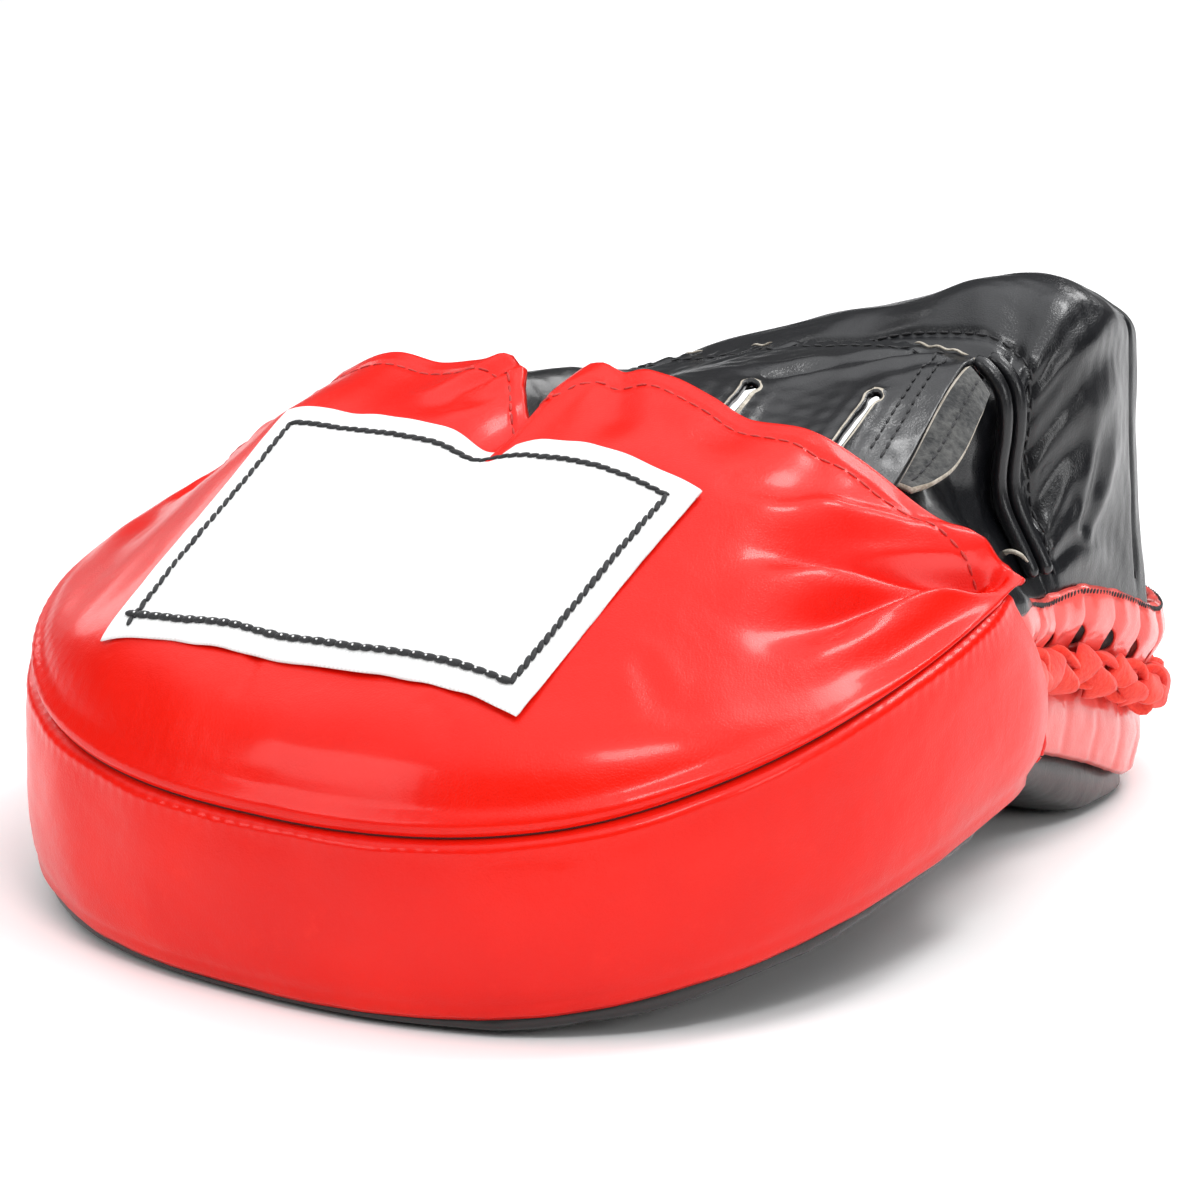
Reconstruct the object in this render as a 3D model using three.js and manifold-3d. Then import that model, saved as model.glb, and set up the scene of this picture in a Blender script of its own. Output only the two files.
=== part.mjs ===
// Focus mitt lying on its striking face, arched over the floor between finger end and heel.
// Millimetres, +Z up, fingertips towards -Y, wrist towards +Y, thumb side towards +X.
import * as THREE from 'three';
import { mergeVertices } from 'three/addons/utils/BufferGeometryUtils.js';
import Module from 'manifold-3d';

const wasm = await Module();
wasm.setup();

// Overall outline seen from above
const PAD_LENGTH = 262;
const MITT_WIDTH = 200;
const FRONT_DEPTH = 112;
const FRONT_SQUARENESS = 2.4;
const HEEL_WIDTH = 168;
const HEEL_DEPTH = 90;
const HEEL_SQUARENESS = 3.4;

// Arch of the pad over the floor
const ARCH_LIFT = 30;
const FAR_SIDE_SAG = 9;
const FRONT_BELLY = 8.5;
const HEEL_BELLY = 15;

// Leather, seams and clearances
const LEATHER = 2.2;
const GAP = 0.35;
const BAND_TUCK = 1.2;
const BAND_BULGE = 1.2;
const SEAM_PINCH = 0.8;

// Front and heel bands
const FRONT_BAND_HEIGHT = 33;
const WAIST_BAND_HEIGHT = 44;
const FRONT_BAND_END = 126;
const BAND_END_SLANT = 6;
const BAND_END_PIVOT = 0.6;
const HEEL_BAND_HEIGHT = 36;
const HEEL_BAND_INSET = 1.5;
const HEEL_SLANT = 5;
const LACE_GROOVE = 4.2;
const PAD_CLEARANCE = 0.8;
const FRONT_BAND_CLEAR = 9;
const PAD_TOP_DROP = 2.6;
const PAD_SHOULDER = 5;
const PALM_DISH = 5;

// Lace along the heel band
const LACE_PITCH = 14;
const LACE_RADIUS = 2.7;
const LACE_SWELL = 1.1;
const LACE_WANDER = 1.6;
const LACE_OVAL = 1.15;
const LACE_PHASE = 0.6;
const SLOT_HEIGHT = 9;
const SLOT_WIDTH = 2.4;
const PLEAT_DEPTH = 1.3;

// Hood over the fingers
const HOOD_RISE = 37;
const HOOD_EDGE = 107;
const HOOD_CORNER = 121.5;
const HOOD_EDGE_WAVE = 4;
const HOOD_DROOP_FROM = 0.72;
const NOTCH_WIDTH = 7;
const NOTCH_DEPTH = 8;
const NOTCH_LENGTH = 24;
const FOLD_DEPTH = 4.5;
const FOLD_WIDTH = 6.5;

// Label on the hood
const LABEL_WIDTH = 98;
const LABEL_LENGTH = 60.5;
const LABEL_SETBACK = 19;
const LABEL_THICKNESS = 1.1;
const LABEL_LIFT = 0.75;

// Finger panel and its turned-out seam strip
const PANEL_TUCK = 13;
const PANEL_END = 167;
const PANEL_HALF_WIDTH = 62;
const PANEL_FLARE = 10.5;
const PANEL_RISE = 45;
const PANEL_CORNER = 3;
const PANEL_LEVEL = 6;
const SLIT_LENGTH = 34;
const SLIT_WIDTH = 2.2;
const STRIP_WIDTH = 8.5;
const STRIP_THICKNESS = 1.6;
const STRIP_SPLAY_FRONT = 70;
const STRIP_SPLAY_REAR = 42;

// Side gussets between panel, cuff and bands
const GUSSET_DEPTH = 7;
const GUSSET_TUCK = 5;
const GUSSET_EASE = 9;

// Padded cuff over the back of the hand
const CUFF_LENGTH = 52;
const CUFF_HALF_WIDTH = 80;
const CUFF_RISE = 62;
const CUFF_PADDING = 6;
const WELT_RADIUS = 1.7;

// Facets
const PLAN_STEPS = 52;
const FRONT_STEPS = 42;
const HOOD_HALF_COLUMNS = 15;
const HOOD_ROWS = 14;
const HOOD_ROW_CROWD = 1.35;

// Vertical room for a wall on a slope, as a share of its thickness
const SLOPE_ROOM = 1.45;

const MID_INSIDE = new THREE.Vector3(0, 0, ARCH_LIFT + WAIST_BAND_HEIGHT * 0.8);

// Smooth curve through the rows of a table, read from its columns
function read(rows, from, column, at) {
  const last = rows.length - 1;
  let i = 0;
  while (i < last - 1 && at > rows[i + 1][from]) i += 1;
  const a = rows[i];
  const b = rows[i + 1];
  const before = rows[Math.max(i - 1, 0)];
  const after = rows[Math.min(i + 2, last)];
  const span = b[from] - a[from];
  const t = THREE.MathUtils.clamp((at - a[from]) / span, 0, 1);
  const slopeA = (b[column] - before[column]) / (b[from] - before[from]) * span;
  const slopeB = (after[column] - a[column]) / (after[from] - a[from]) * span;
  const t2 = t * t;
  const t3 = t2 * t;
  const ends = (2 * t3 - 3 * t2 + 1) * a[column] + (3 * t2 - 2 * t3) * b[column];
  return ends + (t3 - 2 * t2 + t) * slopeA + (t3 - t2) * slopeB;
}

// Lift of the bands over the floor, as shares of the length and of the arch
const ARCH = [
  { along: 0.000, lift: 0.10 },
  { along: 0.070, lift: 0.23 },
  { along: 0.147, lift: 0.41 },
  { along: 0.290, lift: 0.70 },
  { along: 0.428, lift: 0.92 },
  { along: 0.500, lift: 1.00 },
  { along: 0.560, lift: 0.99 },
  { along: 0.630, lift: 0.85 },
  { along: 0.740, lift: 0.54 },
  { along: 0.865, lift: 0.18 },
  { along: 1.000, lift: 0.12 },
];

// How far the striking face hangs below the bands, as shares of the two bellies
const BELLY = [
  { along: 0.00, front: 1.0, heel: 0.0 },
  { along: 0.20, front: 1.0, heel: 0.0 },
  { along: 0.45, front: 0.5, heel: 0.1 },
  { along: 0.65, front: 0.0, heel: 0.8 },
  { along: 0.80, front: 0.0, heel: 1.0 },
  { along: 1.00, front: 0.0, heel: 0.8 },
];

// Height of the heel band, as shares of its full height
const HEEL_BAND = [
  { along: 0.40, height: 0.92 },
  { along: 0.52, height: 0.92 },
  { along: 0.61, height: 0.86 },
  { along: 0.70, height: 1.00 },
  { along: 0.85, height: 1.02 },
  { along: 1.00, height: 1.00 },
];

// Side view of a band across its height: how far it stands out, as shares of bulge, tuck and pinch
const BAND_SIDE = [
  { up: 0.00, bulge: 0.00, tuck: 1.00, pinch: 0.0 },
  { up: 0.10, bulge: 0.25, tuck: 0.30, pinch: 0.0 },
  { up: 0.30, bulge: 0.85, tuck: 0.00, pinch: 0.0 },
  { up: 0.60, bulge: 1.00, tuck: 0.00, pinch: 0.0 },
  { up: 0.88, bulge: 0.55, tuck: 0.00, pinch: 0.0 },
  { up: 1.00, bulge: 0.00, tuck: 0.00, pinch: 1.0 },
];

// Side view of the heel band: the lower half slants in and the lace pulls a groove
const HEEL_SIDE = [
  { up: 0.00, slant: 0.00, groove: 0.0 },
  { up: 0.25, slant: 0.38, groove: 0.15 },
  { up: 0.42, slant: 0.58, groove: 0.8 },
  { up: 0.55, slant: 0.80, groove: 1.0 },
  { up: 0.70, slant: 1.00, groove: 0.7 },
  { up: 0.84, slant: 1.00, groove: 0.1 },
  { up: 1.00, slant: 0.85, groove: 0.0 },
];

function heelStandOut(up) {
  const slant = HEEL_SLANT * (read(HEEL_SIDE, 'up', 'slant', up) - 1);
  return slant - LACE_GROOVE * read(HEEL_SIDE, 'up', 'groove', up);
}

// Heights on the heel band, as shares of its own, and how far the lace stands behind the pad
const LACE_LEVEL = 0.55;
const SLOT_LEVEL = 0.72;
const LACE_AWAY = heelStandOut(LACE_LEVEL) + LACE_RADIUS + LACE_SWELL / 2 + GAP;
const LACE_PROUD = LACE_AWAY + LACE_RADIUS + LACE_SWELL / 2 - HEEL_BAND_INSET;

// The origin is on the floor, halfway between the finger end and the back of the lace
const FRONT_Y = -(PAD_LENGTH + LACE_PROUD) / 2;
const WIDEST_Y = FRONT_Y + FRONT_DEPTH;
const HEEL_WIDEST_Y = FRONT_Y + PAD_LENGTH - HEEL_DEPTH;
const FRONT_BAND_END_Y = FRONT_Y + FRONT_BAND_END;

const alongOf = (y) => (y - FRONT_Y) / PAD_LENGTH;
const acrossOf = (x) => x / (MITT_WIDTH / 2);

function lift(x, y) {
  const share = read(ARCH, 'along', 'lift', alongOf(y));
  const far = THREE.MathUtils.smoothstep(-acrossOf(x), -0.1, 1);
  return share * (ARCH_LIFT - FAR_SIDE_SAG * far * share);
}

function frontBandHeight(y) {
  const back = (y - FRONT_Y) / FRONT_BAND_END;
  return THREE.MathUtils.lerp(FRONT_BAND_HEIGHT, WAIST_BAND_HEIGHT, Math.min(back, 1));
}

function heelBandHeight(y) {
  return HEEL_BAND_HEIGHT * read(HEEL_BAND, 'along', 'height', alongOf(y));
}

// How far the seam between the two bands leans backwards at a height over the lower edge
function endLean(height) {
  return BAND_END_SLANT * (BAND_END_PIVOT - height / WAIST_BAND_HEIGHT);
}

function bandStandOut(up) {
  const bulge = BAND_BULGE * read(BAND_SIDE, 'up', 'bulge', up);
  const tuck = BAND_TUCK * read(BAND_SIDE, 'up', 'tuck', up);
  return bulge - BAND_BULGE - tuck - SEAM_PINCH * read(BAND_SIDE, 'up', 'pinch', up);
}

// Half outline at the finger end and at the heel, as points from the midline outwards
function frontQuarter(side, inset = 0) {
  const points = [];
  const steps = 24;
  const power = 2 / FRONT_SQUARENESS;
  for (let i = 0; i <= steps; i += 1) {
    const angle = Math.PI / 2 * i / steps;
    const x = side * (MITT_WIDTH / 2 - inset) * Math.sin(angle) ** power;
    const y = WIDEST_Y - (FRONT_DEPTH - inset) * Math.max(Math.cos(angle), 0) ** power;
    points.push(new THREE.Vector3(x, y, 0));
  }
  return points;
}

function heelQuarter(side, inset = 0) {
  const points = [];
  const steps = 24;
  const power = 2 / HEEL_SQUARENESS;
  for (let i = 0; i <= steps; i += 1) {
    const angle = Math.PI / 2 * i / steps;
    const x = side * (HEEL_WIDTH / 2 - inset) * Math.sin(angle) ** power;
    const y = HEEL_WIDEST_Y + (HEEL_DEPTH - inset) * Math.max(Math.cos(angle), 0) ** power;
    points.push(new THREE.Vector3(x, y, 0));
  }
  return points;
}

// Waist between the widest line and the heel, eased in plan
function waistPoint(side, share, inset = 0) {
  const ease = THREE.MathUtils.smoothstep(share, 0, 1);
  const x = THREE.MathUtils.lerp(MITT_WIDTH / 2, HEEL_WIDTH / 2, ease) - inset;
  return new THREE.Vector3(side * x, THREE.MathUtils.lerp(WIDEST_Y, HEEL_WIDEST_Y, share), 0);
}

const waistShare = (fromFront) => (FRONT_Y + fromFront - WIDEST_Y) / (HEEL_WIDEST_Y - WIDEST_Y);

function frontPath() {
  const points = [];
  const endShare = waistShare(FRONT_BAND_END);
  points.push(waistPoint(-1, endShare), waistPoint(-1, endShare / 2));
  points.push(...frontQuarter(-1).reverse(), ...frontQuarter(1).slice(1));
  points.push(waistPoint(1, endShare / 2), waistPoint(1, endShare));
  return points;
}

function heelPath() {
  const points = [];
  const startShare = waistShare(FRONT_BAND_END);
  const steps = 6;
  for (let i = 0; i < steps; i += 1) {
    const share = THREE.MathUtils.lerp(startShare, 1, i / steps);
    points.push(waistPoint(1, share, HEEL_BAND_INSET));
  }
  points.push(...heelQuarter(1, HEEL_BAND_INSET).reverse());
  points.push(...heelQuarter(-1, HEEL_BAND_INSET).slice(1));
  for (let i = steps - 1; i >= 0; i -= 1) {
    const share = THREE.MathUtils.lerp(startShare, 1, i / steps);
    points.push(waistPoint(-1, share, HEEL_BAND_INSET));
  }
  return points;
}

// Even stations along a plan path, each with its outward direction
function stations(points, count, startTrim = 0, endTrim = 0) {
  const curve = new THREE.CatmullRomCurve3(points, false, 'centripetal');
  curve.arcLengthDivisions = 800;
  const length = curve.getLength();
  const list = [];
  for (let i = 0; i <= count; i += 1) {
    const share = Math.min((startTrim + (length - startTrim - endTrim) * i / count) / length, 1);
    const place = curve.getPointAt(share);
    const tangent = curve.getTangentAt(share);
    list.push({ place, out: new THREE.Vector3(tangent.y, -tangent.x, 0), share });
  }
  return { list, length };
}

// Closed wall of even thickness under a grid of outer points
function shell(grid, wall, level = {}) {
  const rows = grid.length;
  const columns = grid[0].length;
  const normals = [];
  let turned = 0;
  for (let i = 0; i < rows; i += 1) {
    normals.push([]);
    for (let j = 0; j < columns; j += 1) {
      const du = grid[Math.min(i + 1, rows - 1)][j].clone().sub(grid[Math.max(i - 1, 0)][j]);
      const dv = grid[i][Math.min(j + 1, columns - 1)].clone().sub(grid[i][Math.max(j - 1, 0)]);
      const normal = du.cross(dv).normalize();
      normals[i].push(normal);
      turned += normal.dot(grid[i][j].clone().sub(MID_INSIDE)) > 0 ? 1 : -1;
    }
  }
  const direction = Math.sign(turned);
  const inner = grid.map((row, i) => row.map((point, j) => {
    const normal = normals[i][j].clone().multiplyScalar(direction);
    const flat = (level.rows || []).includes(i) || (level.columns || []).includes(j);
    if (flat) normal.setZ(0).normalize();
    if ((level.square || []).includes(i)) normal.setY(0).normalize();
    const under = point.clone().addScaledVector(normal, -wall);
    if (level.floor) under.z = Math.min(Math.max(under.z, level.floor(under.x, under.y)), point.z);
    return under;
  }));
  return skin(grid, inner);
}

// Closed mesh between two grids of the same size
function skin(outer, inner) {
  const rows = outer.length;
  const columns = outer[0].length;
  const positions = [];
  for (const grid of [outer, inner]) {
    for (const row of grid) {
      for (const point of row) positions.push(point.x, point.y, point.z);
    }
  }
  const at = (layer, i, j) => layer * rows * columns + i * columns + j;
  const faces = [];
  const quad = (a, b, c, d) => faces.push(a, b, c, a, c, d);
  for (let i = 0; i < rows - 1; i += 1) {
    for (let j = 0; j < columns - 1; j += 1) {
      quad(at(0, i, j), at(0, i + 1, j), at(0, i + 1, j + 1), at(0, i, j + 1));
      quad(at(1, i, j + 1), at(1, i + 1, j + 1), at(1, i + 1, j), at(1, i, j));
    }
  }
  for (let i = 0; i < rows - 1; i += 1) {
    quad(at(0, i + 1, 0), at(0, i, 0), at(1, i, 0), at(1, i + 1, 0));
    quad(at(0, i, columns - 1), at(0, i + 1, columns - 1), at(1, i + 1, columns - 1), at(1, i, columns - 1));
  }
  for (let j = 0; j < columns - 1; j += 1) {
    quad(at(0, 0, j), at(0, 0, j + 1), at(1, 0, j + 1), at(1, 0, j));
    quad(at(0, rows - 1, j + 1), at(0, rows - 1, j), at(1, rows - 1, j), at(1, rows - 1, j + 1));
  }
  return outwardGeometry(positions, faces);
}

// Closed mesh over rings of points with a point at each end
function ringBody(rings, startPoint, endPoint) {
  const count = rings[0].length;
  const positions = [];
  for (const ring of rings) {
    for (const point of ring) positions.push(point.x, point.y, point.z);
  }
  const start = positions.length / 3;
  positions.push(startPoint.x, startPoint.y, startPoint.z);
  positions.push(endPoint.x, endPoint.y, endPoint.z);
  const faces = [];
  for (let j = 0; j < count; j += 1) {
    const k = (j + 1) % count;
    faces.push(start, j, k);
    for (let i = 0; i < rings.length - 1; i += 1) {
      const a = i * count;
      const b = a + count;
      faces.push(a + j, b + j, b + k, a + j, b + k, a + k);
    }
    const last = (rings.length - 1) * count;
    faces.push(last + j, start + 1, last + k);
  }
  return outwardGeometry(positions, faces);
}

function outwardGeometry(positions, faces) {
  const corner = (index) => new THREE.Vector3().fromArray(positions, index * 3);
  let volume = 0;
  for (let i = 0; i < faces.length; i += 3) {
    volume += corner(faces[i]).dot(corner(faces[i + 1]).cross(corner(faces[i + 2])));
  }
  if (volume < 0) faces.reverse();
  const geometry = new THREE.BufferGeometry();
  geometry.setAttribute('position', new THREE.Float32BufferAttribute(positions, 3));
  geometry.setIndex(faces);
  return geometry;
}

function toSolid(geometry) {
  const plain = geometry.clone();
  plain.deleteAttribute('normal');
  plain.deleteAttribute('uv');
  const merged = mergeVertices(plain, 1e-4);
  const vertProperties = new Float32Array(merged.attributes.position.array);
  const triVerts = new Uint32Array(merged.index.array);
  return new wasm.Manifold(new wasm.Mesh({ numProp: 3, vertProperties, triVerts }));
}

function fromSolid(solid) {
  const mesh = solid.getMesh();
  const geometry = new THREE.BufferGeometry();
  geometry.setAttribute('position', new THREE.BufferAttribute(mesh.vertProperties, 3));
  geometry.setIndex(new THREE.BufferAttribute(mesh.triVerts, 1));
  return geometry;
}

// Front band
const BAND_ROWS = [0, 0.1, 0.3, 0.6, 0.88, 1];

function frontBand() {
  const path = stations(frontPath(), FRONT_STEPS);
  const grid = path.list.map(({ place, out }, i) => BAND_ROWS.map((up) => {
    const point = place.clone().addScaledVector(out, bandStandOut(up));
    const height = frontBandHeight(point.y) * up;
    point.z = lift(point.x, point.y) + height;
    if (i === 0 || i === FRONT_STEPS) point.y += endLean(height);
    return point;
  }));
  return shell(grid, LEATHER, { columns: [0, BAND_ROWS.length - 1] });
}

// Heel band with pleats between the lace slots
const heelRun = stations(heelPath(), 1, GAP, GAP).length - 2 * GAP;
const slotCount = Math.max(Math.floor(heelRun / LACE_PITCH) - 1, 1);
const slotPitch = heelRun / (slotCount + 1);
function heelBand() {
  const stepsPerPleat = 2;
  const path = stations(heelPath(), (slotCount + 1) * stepsPerPleat, GAP, GAP);
  const rows = HEEL_SIDE.map((row) => row.up);
  const grid = path.list.map(({ place, out }, i) => rows.map((up) => {
    const valley = i % stepsPerPleat === 0 ? PLEAT_DEPTH : 0;
    const pleat = valley * THREE.MathUtils.smoothstep(up, 0.4, 0.7);
    const point = place.clone().addScaledVector(out, heelStandOut(up) - pleat);
    const height = heelBandHeight(place.y) * up;
    point.z = lift(place.x, place.y) + height;
    if (i === 0 || i === path.list.length - 1) point.y += endLean(height);
    return point;
  }));
  let band = toSolid(shell(grid, LEATHER, { columns: [0, rows.length - 1] }));
  const reach = 3 * LEATHER + 2 * HEEL_SLANT;
  for (let i = 1; i <= slotCount; i += 1) {
    const { place, out } = path.list[i * stepsPerPleat];
    const slot = new THREE.BoxGeometry(reach, SLOT_WIDTH, SLOT_HEIGHT);
    const turn = new THREE.Matrix4().makeRotationZ(Math.atan2(out.y, out.x));
    const height = lift(place.x, place.y) + heelBandHeight(place.y) * SLOT_LEVEL;
    turn.setPosition(place.x, place.y, height);
    band = band.subtract(toSolid(slot.applyMatrix4(turn)));
  }
  return fromSolid(band);
}

// Lace: one swelling and wandering strand for each pitch, laid against the heel band
function sideLace() {
  const stepsPerLink = 3;
  const links = slotCount + 1;
  const path = stations(heelPath(), links * stepsPerLink, GAP + LACE_RADIUS * 2, GAP + LACE_RADIUS * 2);
  const sides = 6;
  const rings = path.list.map(({ place, out }, i) => {
    const phase = 2 * Math.PI * i / stepsPerLink;
    const radius = LACE_RADIUS + LACE_SWELL * Math.cos(phase) / 2;
    const wander = LACE_WANDER * Math.sin(phase + LACE_PHASE);
    const centre = place.clone().addScaledVector(out, LACE_AWAY);
    centre.z = lift(place.x, place.y) + heelBandHeight(place.y) * LACE_LEVEL + wander;
    const ring = [];
    for (let k = 0; k < sides; k += 1) {
      const angle = 2 * Math.PI * k / sides;
      const point = centre.clone().addScaledVector(out, radius * Math.cos(angle));
      point.z += radius * LACE_OVAL * Math.sin(angle);
      ring.push(point);
    }
    return { ring, centre };
  });
  const last = rings[rings.length - 1];
  return ringBody(rings.map((row) => row.ring), rings[0].centre, last.centre);
}

// Padded body with the striking face below and the palm side above
function strikePad() {
  const around = [...frontQuarter(-1).reverse(), ...frontQuarter(1).slice(1)];
  const side = 6;
  for (let i = 1; i < side; i += 1) around.push(waistPoint(1, i / side));
  around.push(...heelQuarter(1).reverse(), ...heelQuarter(-1).slice(1));
  for (let i = side - 1; i > 0; i -= 1) around.push(waistPoint(-1, i / side));
  around.push(around[0].clone());
  const path = stations(around, PLAN_STEPS).list.slice(0, -1);
  const spine = (y) => new THREE.Vector3(0, THREE.MathUtils.clamp(y, WIDEST_Y * 0.9, HEEL_WIDEST_Y), 0);
  const hang = (y) => FRONT_BELLY * read(BELLY, 'along', 'front', alongOf(y))
    + HEEL_BELLY * read(BELLY, 'along', 'heel', alongOf(y));
  const bottom = (x, y, share) => Math.max(lift(x, y) - hang(y) * share, 0);
  const bandHeight = (y) => {
    const toHeel = THREE.MathUtils.smoothstep(y, WIDEST_Y - FRONT_DEPTH / 3, WIDEST_Y);
    return THREE.MathUtils.lerp(frontBandHeight(y), heelBandHeight(y), toHeel);
  };
  const heelSide = (up) => heelStandOut(up) - HEEL_BAND_INSET - PLEAT_DEPTH;
  const standOut = (place, up) => {
    const heelStart = FRONT_BAND_END_Y - FRONT_BAND_CLEAR;
    const toHeel = THREE.MathUtils.smoothstep(place.y, WIDEST_Y - LEATHER, heelStart);
    return THREE.MathUtils.lerp(bandStandOut(up), Math.min(heelSide(up), bandStandOut(up)), toHeel);
  };
  const wallGap = LEATHER + PAD_CLEARANCE;
  const ringAt = (place, out, inset, height) => {
    const point = place.clone().addScaledVector(out, -inset);
    point.z = height(point.x, point.y);
    return point;
  };
  const towardsSpine = (place, out, inset, share, height) => {
    const rim = place.clone().addScaledVector(out, -inset);
    const point = rim.lerp(spine(rim.y), share);
    point.z = height(point.x, point.y);
    return point;
  };
  const rings = [];
  const innerRim = (place) => wallGap - standOut(place, 0);
  for (const share of [0.7, 0.4, 0.16]) {
    rings.push(path.map(({ place, out }) => (
      towardsSpine(place, out, innerRim(place), share, (x, y) => bottom(x, y, 1))
    )));
  }
  const lip = (share) => (x, y) => Math.max(lift(x, y) - 2 * GAP - hang(y) * share, 0);
  rings.push(path.map(({ place, out }) => ringAt(place, out, innerRim(place), lip(0.75))));
  rings.push(path.map(({ place, out }) => ringAt(place, out, innerRim(place) - LEATHER, lip(0.3))));
  rings.push(path.map(({ place, out }) => ringAt(place, out, innerRim(place), lip(0))));
  for (const up of [0.12, 0.3, 0.44, 0.68]) {
    rings.push(path.map(({ place, out }) => {
      const height = (x, y) => lift(x, y) + bandHeight(place.y) * up;
      return ringAt(place, out, wallGap - standOut(place, up), height);
    }));
  }
  const top = (drop) => (x, y) => lift(x, y) + bandHeight(y) - drop;
  const shoulder = wallGap + PLEAT_DEPTH + HEEL_BAND_INSET + SEAM_PINCH;
  const palm = top(PAD_TOP_DROP + PALM_DISH);
  rings.push(path.map(({ place, out }) => (
    ringAt(place, out, shoulder, top(PAD_TOP_DROP + PAD_SHOULDER / 2))
  )));
  rings.push(path.map(({ place, out }) => ringAt(place, out, shoulder + PAD_SHOULDER, top(PAD_TOP_DROP))));
  rings.push(path.map(({ place, out }) => towardsSpine(place, out, shoulder, 0.45, palm)));
  rings.push(path.map(({ place, out }) => towardsSpine(place, out, shoulder, 0.75, palm)));
  const middle = new THREE.Vector3(0, (WIDEST_Y + HEEL_WIDEST_Y) / 2, 0);
  const low = middle.clone().setZ(bottom(middle.x, middle.y, 1));
  const high = middle.clone().setZ(palm(middle.x, middle.y));
  return ringBody(rings, low, high);
}

// Hood: crest across its rear edge and rise from seam to edge, as shares
const CREST = [
  { across: -1.00, rise: 0.00 },
  { across: -0.90, rise: 0.20 },
  { across: -0.74, rise: 0.50 },
  { across: -0.62, rise: 0.77 },
  { across: -0.47, rise: 1.00 },
  { across: -0.30, rise: 1.00 },
  { across: 0.00, rise: 0.98 },
  { across: 0.27, rise: 1.01 },
  { across: 0.45, rise: 0.91 },
  { across: 0.58, rise: 0.78 },
  { across: 0.71, rise: 0.57 },
  { across: 0.82, rise: 0.34 },
  { across: 0.92, rise: 0.12 },
  { across: 1.00, rise: 0.00 },
];
const RISE = [
  { back: 0.00, rise: 0.00 },
  { back: 0.02, rise: 0.17 },
  { back: 0.05, rise: 0.32 },
  { back: 0.10, rise: 0.44 },
  { back: 0.18, rise: 0.51 },
  { back: 0.45, rise: 0.70 },
  { back: 0.74, rise: 0.90 },
  { back: 1.00, rise: 1.00 },
];
// Rear edge of the hood from the far corner to the near one: its place and wave in plan, and its droop
const EDGE = [
  { across: -1.00, back: 1.00, wave: 0.0, droop: 0.00 },
  { across: -0.80, back: 0.60, wave: 0.4, droop: 0.02 },
  { across: -0.63, back: 0.30, wave: 0.0, droop: 0.07 },
  { across: -0.52, back: 0.15, wave: -0.2, droop: 0.08 },
  { across: -0.42, back: 0.06, wave: 0.2, droop: 0.08 },
  { across: -0.31, back: 0.01, wave: 0.2, droop: 0.11 },
  { across: -0.21, back: 0.00, wave: 0.1, droop: 0.06 },
  { across: -0.12, back: 0.00, wave: 0.1, droop: 0.00 },
  { across: 0.00, back: 0.00, wave: -3.0, droop: 0.00 },
  { across: 0.10, back: 0.00, wave: -0.7, droop: 0.00 },
  { across: 0.24, back: 0.00, wave: 0.2, droop: 0.04 },
  { across: 0.34, back: 0.02, wave: 0.2, droop: 0.09 },
  { across: 0.43, back: 0.06, wave: 0.0, droop: 0.12 },
  { across: 0.55, back: 0.16, wave: 0.0, droop: 0.04 },
  { across: 0.66, back: 0.35, wave: 0.2, droop: 0.05 },
  { across: 0.76, back: 0.52, wave: 0.2, droop: 0.06 },
  { across: 0.90, back: 0.80, wave: 0.0, droop: 0.00 },
  { across: 1.00, back: 1.00, wave: 0.0, droop: 0.00 },
];
// Folds pulled towards the corners: ends in plan, as shares of half width and of hood length
const FOLDS = [
  { fromAcross: 0.96, fromBack: 1.08, toAcross: 0.61, toBack: 0.62, width: 1.0, depth: 0.9 },
  { fromAcross: 0.97, fromBack: 1.03, toAcross: 0.68, toBack: 0.50, width: 1.0, depth: 0.7 },
  { fromAcross: 0.90, fromBack: 1.03, toAcross: 0.72, toBack: 0.72, width: 0.8, depth: -0.5 },
  { fromAcross: 0.60, fromBack: 1.04, toAcross: 0.65, toBack: 0.76, width: 0.9, depth: 0.6 },
  { fromAcross: -0.13, fromBack: 1.00, toAcross: -0.23, toBack: 0.76, width: 0.8, depth: 0.6 },
  { fromAcross: 0.14, fromBack: 0.96, toAcross: 0.26, toBack: 0.74, width: 0.8, depth: 0.3 },
  { fromAcross: -0.14, fromBack: 0.09, toAcross: 0.06, toBack: 0.20, width: 0.9, depth: 0.3 },
  { fromAcross: 0.42, fromBack: 0.10, toAcross: 0.24, toBack: 0.20, width: 0.9, depth: 0.3 },
  { fromAcross: -0.96, fromBack: 1.06, toAcross: -0.56, toBack: 0.70, width: 1.1, depth: 0.7 },
  { fromAcross: -0.92, fromBack: 0.92, toAcross: -0.66, toBack: 0.52, width: 1.1, depth: 0.5 },
];

function seamY(x) {
  const share = Math.min(Math.abs(x) / (MITT_WIDTH / 2 - BAND_BULGE - SEAM_PINCH), 1);
  const bend = (1 - share ** FRONT_SQUARENESS) ** (1 / FRONT_SQUARENESS);
  return WIDEST_Y - (FRONT_DEPTH - BAND_BULGE - SEAM_PINCH) * bend;
}

function hoodEdgeY(x) {
  const across = acrossOf(x);
  const straight = THREE.MathUtils.lerp(HOOD_EDGE, HOOD_CORNER, read(EDGE, 'across', 'back', across));
  return FRONT_Y + straight + HOOD_EDGE_WAVE * read(EDGE, 'across', 'wave', across);
}

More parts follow.
